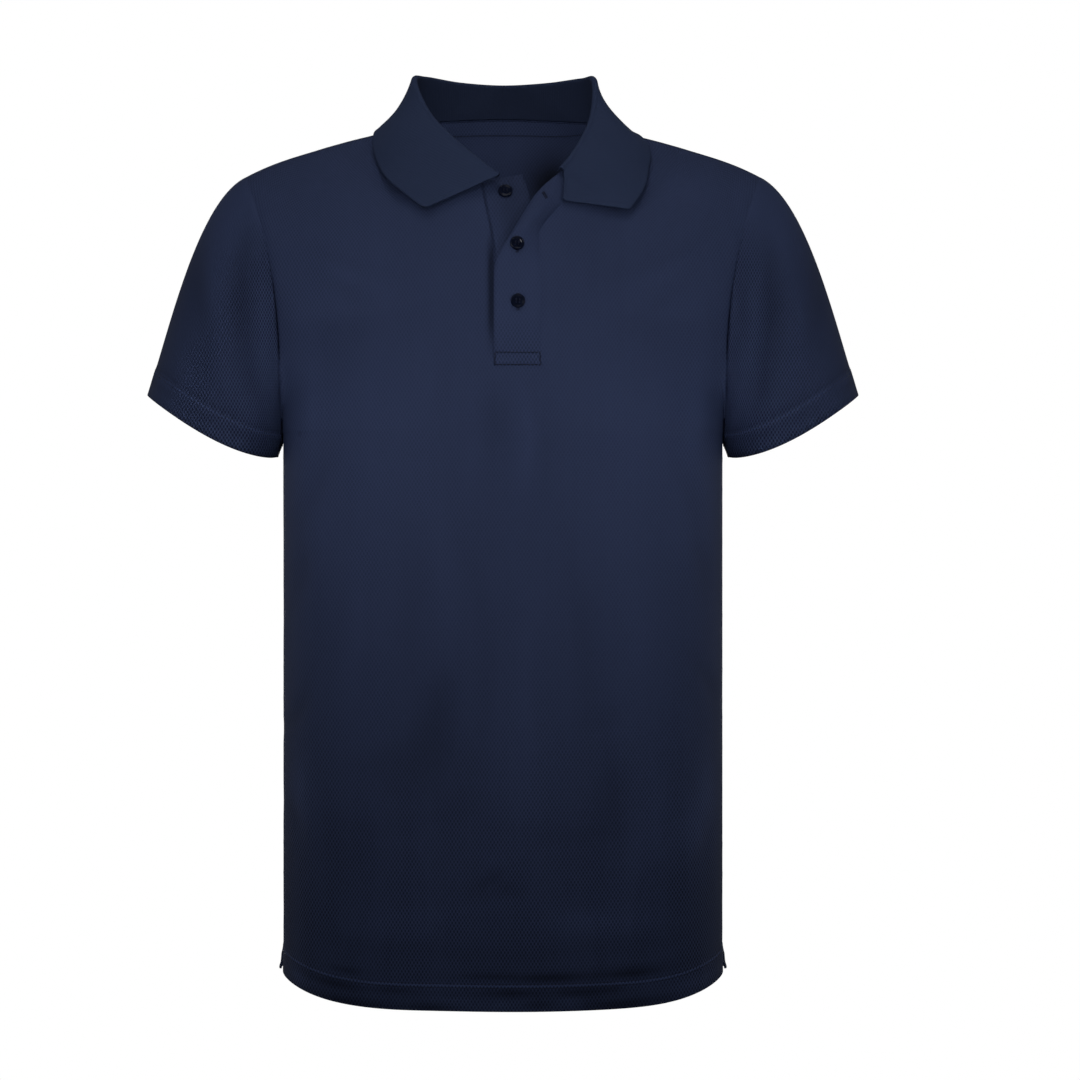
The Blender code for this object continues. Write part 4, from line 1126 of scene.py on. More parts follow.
# lines from armhole to cuff: turn, how each leaves (out, along, down, handle) and how it arrives
# (out, down, handle)
sleeveLines = (
    (0, 0.10, 0.00, -0.99, 0.005, 0.26, -0.96, 0.006),
    (45, 0.42, 0.10, -0.90, 0.018, 0.36, -0.93, 0.022),
    (90, 0.72, 0.16, -0.68, 0.030, 0.40, -0.92, 0.050),
    (135, 0.88, 0.10, -0.48, 0.038, 0.33, -0.944, 0.070),
    (180, 0.905, 0.00, -0.425, 0.044, 0.30, -0.954, 0.060),
)

# creases on the sleeves, as on the wearer's left and turned over for the other arm:
# x, z, half length, half width, turn, depth
rightSleeveCreases = (
    (0.2120, -0.145, 0.070, 0.0075, 87, -0.0026),
    (0.2340, -0.155, 0.050, 0.0095, 84, 0.0020),
    (0.1940, -0.150, 0.040, 0.0065, 92, 0.0018),
    (0.2480, -0.130, 0.040, 0.0080, 78, -0.0016),
    (0.2060, -0.205, 0.022, 0.0070, 64, -0.0012),
    (0.2600, -0.190, 0.030, 0.0080, 74, 0.0010),
)

leftSleeveCreases = (
    (0.2190, -0.155, 0.065, 0.0075, 86, -0.0026),
    (0.1920, -0.135, 0.055, 0.0070, 90, -0.0018),
    (0.2040, -0.150, 0.050, 0.0060, 88, 0.0014),
    (0.2420, -0.166, 0.034, 0.0090, 80, 0.0021),
    (0.2570, -0.140, 0.040, 0.0080, 76, -0.0012),
    (0.2100, -0.212, 0.020, 0.0070, 60, -0.0011),
)

sleeveBackCreases = (
    (0.2100, -0.150, 0.060, 0.0080, 88, -0.0022),
    (0.2320, -0.160, 0.050, 0.0095, 82, 0.0017),
    (0.1940, -0.170, 0.040, 0.0070, 94, 0.0014),
    (0.2500, -0.140, 0.040, 0.0085, 76, -0.0014),
)


def armholeRing():
    turn = np.linspace(0, math.pi, panel["armholeRows"] + 1)
    z = between(body["underarmZ"], body["shoulderTipZ"], armholeShares())
    front, back = (torso(side, np.ones_like(z), z) for side in (-1, 1))
    turns = np.concatenate([turn, turn[-2:0:-1]])
    sides = np.concatenate([-np.ones(len(turn)), np.ones(len(turn) - 2)])
    return turns, sides, np.concatenate([front, back[-2:0:-1]])


def cuffRing(turns, sides):
    inner, outer = (
        np.array([sleeve[corner][0], sleeve["cuffY"], sleeve[corner][1]])
        for corner in ("cuffInner", "cuffOuter")
    )
    acrossCuff = (outer - inner) / 2
    down = unit(np.array([acrossCuff[2], 0, -acrossCuff[0]]))
    frontDip = sleeve["cuffFrontDip"] * (1 + sleeve["cuffDipLean"] * np.cos(turns))
    dip = np.where(sides < 0, frontDip, sleeve["cuffBackDip"]) * np.sin(turns) ** 1.5
    ring = (inner + outer) / 2 - np.cos(turns)[:, None] * acrossCuff + dip[:, None] * down
    ring[:, 1] += sides * sleeve["cuffHalfDepth"] * np.sin(turns)
    return ring - sleeve["cuffCornerLift"] * bell(turns, 0.26)[:, None] * down


def sleeveGrid():
    turns, sides, start = armholeRing()
    start[:, 0] -= body["seamLap"]
    end = cuffRing(turns, sides)
    angles = np.radians([row[0] for row in sleeveLines])
    read = readColumns(sleeveLines, angles, turns)
    leave = unit(stack(read[1], sides * read[2], read[3])) * read[4][:, None]
    arrive = unit(stack(read[5], 0 * turns, read[6])) * read[7][:, None]
    middle = np.linspace(firstRows[-1], lastRows[0], sleeve["middleRows"])[1:-1]
    rows = []
    for share in (*firstRows, *middle, *lastRows):
        rest = 1 - share
        rows.append(
            rest ** 3 * start + 3 * rest * rest * share * (start + leave)
            + 3 * rest * share * share * (end - arrive) + share ** 3 * end
        )
    return turns, sides, np.stack(rows, axis=1)


def makeSleeve(name, node, sign):
    turns, sides, grid = sleeveGrid()

    def overTurns(low, high):
        # a share that grows round the sleeve, between two turns in degrees from under the arm
        return smoothStep(math.radians(low), math.radians(high), turns)[:, None]

    normals = gridNormals(grid, grid.mean(axis=(0, 1)), closed=True)
    loop = np.concatenate([grid, grid[:1]])
    top = panel["armholeRows"]
    uv = hangingMap(loop, top)
    uv[..., 0] = (loop[top, :, 0] - np.abs(uv[..., 0] - loop[top, :, 0])) * sign
    aside = runAlong(loop, 0)
    aside = (aside - aside[top][None, :])[:-1]
    fromArmhole = runAlong(grid, 1)
    fromCuff = runAlong(grid, 1, fromEnd=True)
    relief, wall = hemRelief(fromCuff, aside, sleeve)
    x, z = grid[..., 0], grid[..., 2]
    frontFolds = creaseRelief(x, z, leftSleeveCreases if sign > 0 else rightSleeveCreases)
    backFolds = creaseRelief(x, z, sleeveBackCreases)
    folds = np.where((sides < 0)[:, None], sleeve["frontFolds"] * frontFolds, backFolds)
    folds = folds * smoothStep(0, 0.016, fromArmhole) * overTurns(5, 40) * overTurns(178, 150)
    relief = relief + folds
    lowOnArm = overTurns(165, 125)
    dip, half = sleeve["seamDip"]
    relief = relief - dip * bell(fromArmhole, half) * (0.1 + 0.9 * lowOnArm)
    puckers = pucker(aside, sleeve["seamPucker"], sleeve["puckerPitches"])
    relief = relief + puckers * bell(fromArmhole - 0.006, 0.007) * lowOnArm
    outer = grid + normals * relief[..., None]
    normals[:, 0] = armholeNormal(sides, turns, -1)
    inner = outer - normals * wall[..., None]
    opened = sleeve["mesh"][0] + sleeve["mesh"][1] * overTurns(140, 104)
    # painted light and shade on the sleeve: a highlight along the cuff's stitched ridge, shade in its
    # puckers and folds, and the shades listed below over the arm, under it, at the cuff's low corner, on the
    # top of the arm, along the cuff's edge and in a line above the stitches
    tone = hemTone(fromCuff, aside, sleeve) * foldTone(folds)
    for shade, where in (
        ("armShade", smoothStep(0.02, 0.08, fromArmhole)),
        ("underArmShade", overTurns(44, 8) * smoothStep(0.030, 0.100, fromArmhole)),
        ("lowCornerShade", overTurns(62, 20) * smoothStep(0.013, 0, fromCuff)),
        ("pressedShade", overTurns(108, 140) * smoothStep(0.03, 0.10, fromArmhole)),
        ("edgeShade", bell(fromCuff, 0.0024) * (0.25 + 0.75 * overTurns(155, 115))),
        ("lineShade", bell(fromCuff - sleeve["hemStitchHeight"] - 0.0034, 0.0010)),
    ):
        tone = tone * (1 - sleeve[shade] * where)
    mirror = np.array([sign, 1, 1])
    made = wallObject(name, outer * mirror, inner * mirror, uv, meshCloth, opened, tone, closed=True)
    placePiece(made, "mesh_knit", node)
    return outer[:, ::-1] * mirror, normals[:, ::-1] * mirror, fromCuff[:, ::-1]


leftCuffFace = makeSleeve("leftSleeve", "sleeve_left", 1)
rightCuffFace = makeSleeve("rightSleeve", "sleeve_right", -1)
print("sleeves are made")


# Collar

collar = {
    "wall": 0.0013,
    "stations": 200,
    "standRows": 12,
    "rollRows": 8,
    "leafRows": 26,
    "rollRadius": 0.0021,
    "lift": 0.0004,
    "edgeLift": 0.0022,  # how far the leaf's edge stands away
    "bend": (-0.0236, -0.0133),  # the drop of the wearer's left end beside the placket
    "overPlacket": 0.0042,
    "pointRadii": (0.0050, 0.0022),
    "waves": ((0.0007, 0.0125, 0.6), (0.0005, 0.0071, 2.0)),  # along the edge: height, length, start
    "frontWave": (0.0006, 0.009),
    "border": (0.00018, 0.0042),  # depth of the groove inside the knitted border, and how far in it lies
    "thickerBorder": 0.25,
    "openness": (0.15, 0.75),  # how far its ribs show on the leaf, and how much more on the stand
    "standShade": 0.38,
    "edgeShade": 0.34,
}

# round the neck: turn, top of the roll, outer edge of the leaf, bulge
collarStations = (
    (-7, -0.0030, -0.0680, -0.0385, -0.0617, -0.0690, -0.0664, 0.0030),
    (-24, -0.0185, -0.0620, -0.0262, -0.0765, -0.0562, -0.0547, 0.0035),
    (-46, -0.0429, -0.0450, -0.0039, -0.0956, -0.0380, -0.0359, 0.0045),
    (-68, -0.0610, -0.0250, 0.0190, -0.1046, -0.0150, -0.0125, 0.0050),
    (-90, -0.0722, 0.0040, 0.0480, -0.1048, 0.0030, 0.0036, -0.0038),
    (-118, -0.0640, 0.0340, 0.0540, -0.0925, 0.0370, 0.0068, 0.0010),
    (-148, -0.0360, 0.0550, 0.0522, -0.0560, 0.0730, 0.0060, 0.0030),
    (-180, 0.0000, 0.0625, 0.0508, 0.0000, 0.0850, 0.0065, 0.0030),
    (-212, 0.0370, 0.0550, 0.0518, 0.0590, 0.0730, 0.0055, 0.0030),
    (-242, 0.0650, 0.0330, 0.0525, 0.0970, 0.0370, 0.0060, 0.0000),
    (-270, 0.0744, 0.0040, 0.0480, 0.1105, 0.0030, 0.0026, -0.0076),
    (-288, 0.0725, -0.0150, 0.0180, 0.1185, -0.0155, -0.0160, 0.0050),
    (-303, 0.0645, -0.0350, -0.0040, 0.1151, -0.0385, -0.0400, 0.0055),
    (-316, 0.0555, -0.0485, -0.0200, 0.1081, -0.0497, -0.0549, 0.0060),
    (-326, 0.0465, -0.0570, -0.0320, 0.1005, -0.0580, -0.0655, 0.0070),
)


def neckPoint(turn):
    folded = (turn + 180) % 360 - 180
    size = np.abs(folded)
    inFront = size <= 90
    angle = np.radians(np.where(inFront, size, 180 - size))
    xFront, zFront = neckline(-1, angle)
    xBack, zBack = neckline(1, angle)
    x = np.where(inFront, xFront, xBack) * np.sign(np.where(folded == 0, 1, folded))
    z = np.where(inFront, zFront, zBack)
    return np.where(inFront[..., None], torso(-1, across(x, z), z), torso(1, across(x, z), z))


def collarGrid():
    knots = np.arange(len(collarStations))
    even = np.linspace(0, 1, collar["stations"] + 1)
    # stations lie closest at the collar's ends
    at = (len(collarStations) - 1) * (even - 0.7 * np.sin(2 * math.pi * even) / (2 * math.pi))
    read = readColumns(collarStations, knots, at)
    roll = stack(*read[1:4])
    edge = stack(*read[4:7])
    bulge = read[7]
    neck = neckPoint(read[0])
    neck = neck + unit(stack(-neck[:, 0], 0.008 - neck[:, 1], 0 * at)) * collar["wall"] / 2
    neck[:, 2] += collar["lift"]
    tangent = unit(np.gradient(roll, axis=0))

    def square(vectors):
        return unit(vectors - np.sum(vectors * tangent, axis=1)[:, None] * tangent)

    leafWay = square(edge - roll)
    standWay = square(neck - roll)
    apex = -unit(leafWay + standWay)
    apart = unit(leafWay - standWay)
    centre = roll - apex * collar["rollRadius"]
    top = centre - apart * collar["rollRadius"]
    lines = [between(neck, top, share) for share in np.linspace(0, 1, collar["standRows"] + 1)[:-1]]
    for angle in np.linspace(0, math.pi, collar["rollRows"] + 1):
        lines.append(centre + collar["rollRadius"] * (apex * math.sin(angle) - apart * math.cos(angle)))
    start = centre + apart * collar["rollRadius"]
    # the wearer's left end drops beside the placket before it turns to the point
    pull = smoothStep(len(collarStations) - 2.6, len(collarStations) - 1, at) ** 1.5
    # the edge stands away all round but for where it lies on the shoulders
    edgeLift = collar["edgeLift"] * (1 - 0.85 * bell(at - 4, 0.8) - 0.85 * bell(at - 10, 0.8))
    for share in edgeDense(np.linspace(0, 1, collar["leafRows"]), False, True)[1:]:
        away = 4 * share * (1 - share) * bulge + edgeLift * share ** 3
        line = between(start, edge, share) + away[:, None] * apart
        bent = pull * float(np.interp(share, (0, 0.34, 1), (0, 1, 0)))
        line[:, 0] += bent * collar["bend"][0]
        line[:, 2] += bent * collar["bend"][1]
        lines.append(line)
    return np.stack(lines, axis=1), at


def clearOfFront(grid, at):
    # near its ends the leaf rides over the placket
    x, z = grid[..., 0], grid[..., 2]
    level = np.minimum(z, -0.010)
    surface = torso(-1, across(x, level), level)[..., 1]
    nearEnd = smoothStep(len(collarStations) - 4, len(collarStations) - 2, at)[:, None]
    nearEnd = np.maximum(nearEnd, smoothStep(3, 1, at)[:, None]) * smoothStep(-0.012, -0.030, z)
    grid[..., 1] -= np.maximum(0, grid[..., 1] - (surface - collar["overPlacket"])) * nearEnd


def roundCorner(grid, toEdge, toEnd, radius, endWay):
    # square corner pressed on to a quarter circle
    u = np.clip(1 - toEdge / radius, 0, 1)
    v = np.clip(1 - toEnd / radius, 0, 1)
    down = unit(np.gradient(grid, axis=1))
    out = unit(np.gradient(grid, axis=0)) * endWay
    moved = down * ((u * np.sqrt(1 - v * v / 2) - u) * radius)[..., None]
    return grid + moved + out * ((v * np.sqrt(1 - u * u / 2) - v) * radius)[..., None]


def makeCollar():
    middle, at = collarGrid()
    clearOfFront(middle, at)
    standAndRoll = collar["standRows"] + collar["rollRows"]
    offLeaf = 0.05 * (np.arange(middle.shape[1]) <= standAndRoll)[None, :]
    toEdge = runAlong(middle, 1, fromEnd=True)
    toStart = runAlong(middle, 0) + offLeaf
    toStop = runAlong(middle, 0, fromEnd=True) + offLeaf
    middle = roundCorner(middle, toEdge, toStart, collar["pointRadii"][0], -1)
    middle = roundCorner(middle, toEdge, toStop, collar["pointRadii"][1], 1)
    normals = gridNormals(middle, (0, 0, -0.1))
    uv = stripMap(middle)
    u, v = uv[..., 0], uv[..., 1]
    fromRoll = v - v[:, standAndRoll:standAndRoll + 1]
    toFront = np.minimum(toStart, toStop)
    onLeaf = smoothStep(0.002, 0.012, fromRoll)
    # the leaf's free edges wave a little, and the knitted border is a touch thicker
    wave = sum(height * np.sin(u / length + start) for height, length, start in collar["waves"])
    relief = wave * onLeaf * smoothStep(0.03, 0.0, toEdge)
    height, length = collar["frontWave"]
    relief = relief + height * np.sin(v / length) * onLeaf * smoothStep(0.03, 0.0, toFront)
    fromBorder = np.minimum(toEdge, toFront)
    groove, inset = collar["border"]
    relief = relief - groove * bell(fromBorder - inset, 0.0007) * onLeaf
    middle = middle + normals * relief[..., None]
    thick = collar["wall"] / 2 * (1 + collar["thickerBorder"] * bell(fromBorder, 0.0022) * onLeaf)
    outer, inner = (middle + way * normals * thick[..., None] for way in (1, -1))
    shut = smoothStep(0.0005, -0.004, fromRoll + math.pi * collar["rollRadius"] / 2)
    opened = collar["openness"][0] + collar["openness"][1] * shut
    # painted shade on the shut-away stand, and a painted shadow line along the leaf's free edge
    tone = (1 - collar["standShade"] * shut) * (1 - collar["edgeShade"] * bell(toEdge, 0.0008) * onLeaf)
    made = wallObject("collarLeafAndStand", outer, inner, uv, collarCloth, opened, tone)
    placePiece(made, "rib_knit", "collar")


makeCollar()
print("collar is made")


# Placket strips

placket = {
    "wall": 0.0011,
    "columns": 18,
    "rows": 90,
    "foldIn": 0.0006,  # how far the folded free edge rolls in
    "foldUp": 0.0003,  # how far the pressed fold beside it stands up
    "overlap": 0.05,  # how far past its seam the upper strip runs
    "underOpenness": 0.42,
    # the under strip's sewn edge lies behind the front's: out and back, from the edge inwards
    "tuck": ((-0.0022, 0.0014), (-0.0008, 0.0012), (0.0004, 0.0006)),
}


def stripGrid(rows, shares, overlap=0):
    # grid of a strip: its columns run between two edges, its rows down the front
    knots = np.arange(len(rows))
    spacing = np.concatenate([[0], np.cumsum(np.abs(np.diff([row[1] for row in rows])))])
    at = np.interp(np.linspace(0, spacing[-1], placket["rows"] + 1), spacing, knots)
    read = readColumns(rows, knots, at)
    lines = []
    for share in shares * (1 + overlap):
        x, z, lift = (
            read[first] * (1 - share) + read[second] * share for first, second in ((0, 2), (1, 3), (4, 5))
        )
        if overlap:
            # the upper strip swells, and is flat at its foot and where it is sewn
            lift = lift + read[6] * math.sin(math.pi * min(share, 1))
            sewn = np.maximum(smoothStep(0.90, 1.03, share), smoothStep(-0.1925, -0.1950, z))
            above = smoothStep(-0.190, -0.172, z)
            lift = (lift * above + 0.0005 * (1 - above)) * (1 - sewn) - 0.0004 * sewn
        lines.append(liftedFront(x, z, lift))
    return np.stack(lines, axis=0)


def makeStrip(name, node, grid, opened, tone, freeAtEnd=False):
    normals = gridNormals(grid, (0, 0, -0.3))
    fromFree = runAlong(grid, 0, freeAtEnd)
    # the folded edge rolls in, and the pressed fold beside it stands up a little
    drop = placket["foldIn"] * bell(fromFree, 0.0009) - placket["foldUp"] * bell(fromFree - 0.0035, 0.0020)
    outer = grid - normals * drop[..., None]
    inner = grid - normals * (placket["wall"] - np.maximum(drop, 0) * 0.5)[..., None]
    made = wallObject(name, outer, inner, grid[..., ::2], meshCloth, opened, tone, sharp=60)
    placePiece(made, "mesh_knit", node)
    return made, (outer, normals)


def makePlackets():
    shares = (0, 0.008, 0.02, 0.04, *np.linspace(0.08, 0.92, placket["columns"]), 0.94, 0.96, 0.98, 1)
    top = stripGrid(topStrip, np.array(shares), placket["overlap"])
    z = top[..., 2]
    opened = 0.16 + 0.10 * smoothStep(-0.070, -0.130, z) + 0.28 * smoothStep(-0.150, -0.185, z)
    # painted light and shade: the upper strip is paler low down and darker towards its top
    tone = 1.06 - 0.14 * smoothStep(-0.110, -0.065, z)
    upper, upperFace = makeStrip("upperPlacket", "placket_top", top, opened, tone)
    shares = 1 - np.array(shares)[::-1]
    under = stripGrid(underStrip, shares)
    for line, (aside, deeper) in zip(under, placket["tuck"]):
        line[:, 0] += aside
        line[:, 1] += deeper + slotValley(line[:, 0], line[:, 2])
    # painted shade: the under strip darkens from its sewn edge towards its free edge, under the upper strip
    tone = 0.73 + 0.24 * smoothStep(0.6, 0, shares)[:, None]
    opened = placket["underOpenness"]
    lower, lowerFace = makeStrip("underPlacket", "placket_under", under, opened, tone, freeAtEnd=True)
    return upperFace, lowerFace


upperPlacket, lowerPlacket = makePlackets()
print("placket is made")


# Neck tape inside the back neck

tape = {
    "width": 0.0145,
    "drop": 0.0008,
    "gap": 0.0003,
    "wall": 0.0008,
    "rows": 14,
    "openness": 0.42,
    "edgeShade": 0.45,  # its sewn lower edge is in shade
    "stitchesFromEdge": 0.0012,
}


def lineRun(line):
    return np.concatenate([[0], np.cumsum(np.linalg.norm(np.diff(line, axis=0), axis=1))])


def alongLine(line, distances, run=None):
    # what a line holds at distances along it, or at places in a run of its own
    run = lineRun(line) if run is None else run
    return np.stack([np.interp(distances, run, line[:, axis]) for axis in range(3)], axis=-1)


def makeTape():
    first = panel["shoulderColumns"][1] + 2
    distances = tape["drop"] + tape["width"] * np.linspace(0, 1, tape["rows"] + 1)
    grid = np.stack([alongLine(line, distances) for line in backInner[first:-first, ::-1]], axis=0)
    normals = gridNormals(grid, (0, 0, -0.1))
    outer = grid - normals * tape["gap"]
    inner = outer - normals * tape["wall"]
    tone = 1 - tape["edgeShade"] * bell(distances - distances[-1], 0.0012)[None, :]
    made = wallObject("neckTape", outer, inner, stripMap(grid), meshCloth, tape["openness"], tone)
    placePiece(made, "mesh_knit", "neck_tape")
    return inner, -normals, runAlong(grid, 1)


tapeFace = makeTape()
print("neck tape is made")


# Buttons: four holes, a raised rim and two bars of thread

buttonSizes = {
    "radius": 0.00575,
    "thickness": 0.0024,
    "rim": 0.0011,
    "dish": 0.0007,
    "dishSlope": 0.0005,
    "middle": 0.0016,
    "roundedBy": 0.0004,
    "holeRadius": 0.00072,
    "holeSpacing": 0.0026,
    "seat": 0.0004,
    "threadRadius": 0.00042,
    "threadBend": 0.0006,
    "threadRise": 0.0003,
}

buttonPlaces = (
    # node            x        z        strip    tilt
    ("button_top",    0.0019,  -0.0520, "under", 4),
    ("button_middle", 0.0113,  -0.0962, "upper", -3),
    ("button_bottom", 0.0118,  -0.1429, "upper", 2),
)


def stripFace(grid, normals, x, z):
    # the point of a strip's face at x and z, and its normal, from the grid points round it
    points = grid.reshape(-1, 3)
    distance = np.hypot(points[:, 0] - x, points[:, 2] - z)
    weight = 1 / (distance + 0.0005) ** 4
    weight /= weight.sum()
    normal = unit(weight @ normals.reshape(-1, 3))
    base = weight @ points
    depth = base[1] + ((x - base[0]) * normal[0] + (z - base[2]) * normal[2]) / -normal[1]
    point = np.array([x, depth, z])
    near = points[distance < buttonSizes["radius"] * 1.1]
    proud = max(0, float(np.max((near - point) @ normal))) if len(near) else 0
    return point + normal * proud * 0.6, normal


def newPrimitive(kind, **settings):
    bpy.ops.object.select_all(action="DESELECT")
    getattr(bpy.ops.mesh, "primitive_%s_add" % kind)(**settings)
    return bpy.context.object


def modelButton():
    sizes = buttonSizes
    thickness = sizes["thickness"]
    button = newPrimitive(
        "cylinder", vertices=48, radius=sizes["radius"], depth=thickness, location=(0, 0, thickness / 2)
    )
    # only the top face is taken in and let down
    bpy.ops.object.mode_set(mode="EDIT")
    bpy.ops.mesh.select_mode(type="FACE")
    bpy.ops.mesh.select_all(action="DESELECT")
    bpy.ops.object.mode_set(mode="OBJECT")
    for face in button.data.polygons:
        face.select = face.normal.z > 0.9
    bpy.ops.object.mode_set(mode="EDIT")
    bpy.ops.mesh.inset(thickness=sizes["rim"])
    bpy.ops.mesh.inset(thickness=sizes["dishSlope"])
    bpy.ops.transform.translate(value=(0, 0, -sizes["dish"]))
    bpy.ops.mesh.inset(thickness=sizes["middle"])
    bpy.ops.object.mode_set(mode="OBJECT")
    rounded = button.modifiers.new("roundedEdges", "BEVEL")
    rounded.width = sizes["roundedBy"]
    rounded.segments = 3
    rounded.limit_method = "ANGLE"
    rounded.angle_limit = math.radians(35)
    bpy.ops.object.modifier_apply(modifier=rounded.name)
    for x in (-0.5, 0.5):
        for y in (-0.5, 0.5):
            place = (x * sizes["holeSpacing"], y * sizes["holeSpacing"], 0)
            drill = newPrimitive(
                "cylinder", vertices=16, radius=sizes["holeRadius"], depth=0.01, location=place
            )
            drill.select_set(False)
            bpy.context.view_layer.objects.active = button
            button.select_set(True)
            cut = button.modifiers.new("threadHole", "BOOLEAN")
            cut.operation = "DIFFERENCE"
            cut.solver = "EXACT"
            cut.object = drill
            bpy.ops.object.modifier_apply(modifier=cut.name)
            bpy.data.objects.remove(drill)
    bpy.ops.object.shade_smooth_by_angle(angle=math.radians(35))
    button.data.materials.clear()
    button.data.materials.append(resin)
    return button


def modelBall(radius, segments, rings, rotation):
    sizes = {"radius": radius, "segments": segments, "ring_count": rings}
    ball = newPrimitive("uv_sphere", **sizes, location=(0, 0, 0), rotation=rotation)
    bpy.ops.object.transform_apply(location=True, rotation=True, scale=True)
    return ball


def modelThreadBar():
    # one bar of thread through two holes: a stretched ball, bent over at its ends
    radius = buttonSizes["threadRadius"]
    bar = modelBall(radius, 10, 10, (math.pi / 2, 0, 0))
    for vertex in bar.data.vertices:
        share = vertex.co.y / radius
        vertex.co.y += share * buttonSizes["holeSpacing"] / 2
        vertex.co.z -= buttonSizes["threadBend"] * abs(share) ** 3
    bpy.ops.object.shade_smooth()
    bar.data.materials.append(thread)
    return bar


def placeCopy(model, name, matrix):
    mesh = model.data.copy()
    mesh.transform(matrix)
    return addObject(name, mesh)


def makeButtons():
    button = modelButton()
    bar = modelThreadBar()
    height = buttonSizes["thickness"] - buttonSizes["dish"] + buttonSizes["threadRise"]
    for node, x, z, strip, tilt in buttonPlaces:
        face = upperPlacket if strip == "upper" else lowerPlacket
        point, normal = stripFace(*face, x, z)
        turn = Vector((0, 0, 1)).rotation_difference(Vector(normal)).to_matrix().to_4x4()
        twist = Matrix.Rotation(math.radians(tilt), 4, "Z")
        place = Matrix.Translation(Vector(point + normal * buttonSizes["seat"])) @ turn @ twist
        placePiece(placeCopy(button, node.replace("button_", "resinButton_"), place), "button", node)
        for sideways in (-0.5, 0.5):
            offset = Matrix.Translation((sideways * buttonSizes["holeSpacing"], 0, height))
            name = "buttonThread_%s_%d" % (node[7:], sideways > 0)
            placePiece(placeCopy(bar, name, place @ offset), "mesh_knit")
    bpy.data.objects.remove(button)
    bpy.data.objects.remove(bar)


makeButtons()
print("buttons are made")


# Stitches

stitching = {
    "pitch": 0.0031,
    "length": 0.0029,
    "radius": 0.00022,
    "lift": 0.00012,
    "boxRadius": 0.00046,
    "sideRadius": 0.00014,
    "holeStitch": 0.0016,  # the short stitches across a buttonhole's edge
    "holePitch": 0.0006,
    "holeHalfWidth": 0.0007,
}

# rows of stitches on the plackets, as corners in x and z
boxCorners = (
    (-0.0062, -0.1840), (0.0291, -0.1840), (0.0291, -0.1937), (-0.0062, -0.1937), (-0.0062, -0.1840),
)
sideCorners = ((-0.0162, -0.0505), (-0.0098, -0.0800), (-0.0068, -0.1006))
buttonholes = (
    ((0.0320, -0.0530), (0.0350, -0.0585)),
    ((0.0113, -0.0900), (0.0113, -0.1040)),
    ((0.0118, -0.1365), (0.0118, -0.1508)),
)


def modelStitch():
    # one stitch: a small ball that is later drawn out along its seam
    stitch = modelBall(1, 6, 5, (0, math.pi / 2, 0))
    points = np.array([vertex.co[:] for vertex in stitch.data.vertices])
    faces = [list(face.vertices) for face in stitch.data.polygons]
    bpy.data.objects.remove(stitch)
    return points, faces


stitchPoints, stitchFaces = modelStitch()


def stitchRow(line, normals, pitch=stitching["pitch"]):
    run = lineRun(line)
    count = max(1, int(run[-1] / pitch))
    middles = (np.arange(count) + 0.5) * run[-1] / count
    along = unit(alongLine(line, middles + 0.0008) - alongLine(line, middles - 0.0008))
    up = unit(alongLine(normals, middles, run))
    up = unit(up - np.sum(up * along, axis=1)[:, None] * along)
    return alongLine(line, middles) + up * stitching["lift"], along, up


def stitchObject(name, rows, length=stitching["length"], radius=stitching["radius"]):
    points = []
    faces = []
    for at, along, up in rows:
        for place, *axes in zip(at, along, np.cross(along, up), up):
            first = len(points) * len(stitchPoints)
            faces.extend([corner + first for corner in face] for face in stitchFaces)
            points.append(place + stitchPoints * (length / 2, radius, radius * 0.7) @ np.stack(axes))
    mesh = bpy.data.meshes.new(name)
    mesh.from_pydata(np.concatenate(points).tolist(), [], faces)
    mesh.shade_smooth()
    mesh.materials.append(thread)
    placePiece(addObject(name, mesh), "mesh_knit")


def lineAcross(face, value):
    # the line on a face where the distance along its columns has the value
    line = [alongLine(points, value, run) for points, up, run in zip(*face)]
    ups = [alongLine(up, value, run) for points, up, run in zip(*face)]
    return np.array(line), unit(np.array(ups))


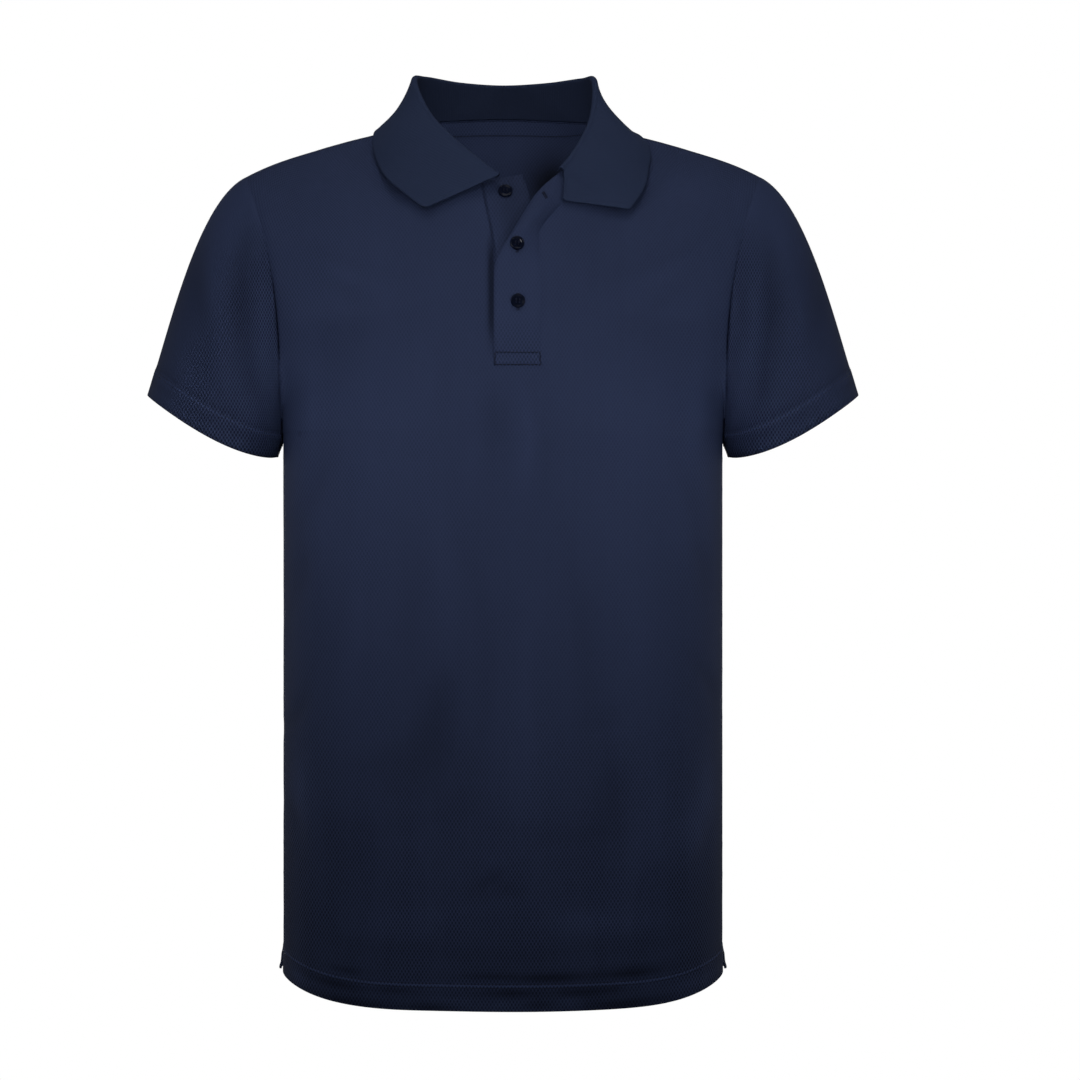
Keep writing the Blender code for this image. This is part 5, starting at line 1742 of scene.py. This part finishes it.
def twinRows(face, sizes, closed=False):
    rows = []
    for offset in (-0.5, 0.5):
        line, ups = lineAcross(face, sizes["hemStitchHeight"] + offset * sizes["hemStitchApart"])
        if closed:
            line = np.concatenate([line, line[:1]])
            ups = np.concatenate([ups, ups[:1]])
        rows.append(stitchRow(line, ups))
    return rows


def onStrip(face, corners):
    # a line over a strip through the corners given as x and z
    spots = []
    for (x0, z0), (x1, z1) in zip(corners[:-1], corners[1:]):
        steps = max(2, int(math.hypot(x1 - x0, z1 - z0) / 0.0015))
        spots.extend((x0 + (x1 - x0) * step / steps, z0 + (z1 - z0) * step / steps) for step in range(steps))
    found = [stripFace(*face, x, z) for x, z in (*spots, corners[-1])]
    return [np.array(part) for part in zip(*found)]


def buttonholeRows(start, stop):
    # short stitches across both edges of a buttonhole
    way = unit(np.array([stop[0] - start[0], stop[1] - start[1]]))
    rows = []
    for aside in (-stitching["holeHalfWidth"], stitching["holeHalfWidth"]):
        corners = [(x - way[1] * aside, z + way[0] * aside) for x, z in (start, stop)]
        at, along, up = stitchRow(*onStrip(upperPlacket, corners), pitch=stitching["holePitch"])
        rows.append((at, np.cross(up, along), up))
    return rows


def makeStitches():
    stitchObject("frontHemStitches", twinRows(frontFace, body))
    stitchObject("backHemStitches", twinRows(backFace, body))
    stitchObject("leftCuffStitches", twinRows(leftCuffFace, sleeve, True))
    stitchObject("rightCuffStitches", twinRows(rightCuffFace, sleeve, True))
    tapeLine = lineAcross(tapeFace, tape["width"] - tape["stitchesFromEdge"])
    stitchObject("tapeStitches", [stitchRow(*tapeLine)])
    box = [stitchRow(*onStrip(upperPlacket, boxCorners))]
    stitchObject("placketBoxStitches", box, radius=stitching["boxRadius"])
    side = [stitchRow(*onStrip(lowerPlacket, sideCorners))]
    stitchObject("underPlacketStitches", side, radius=stitching["sideRadius"])
    holes = [row for ends in buttonholes for row in buttonholeRows(*ends)]
    stitchObject("buttonholes", holes, stitching["holeStitch"])


makeStitches()
print("stitches are made")
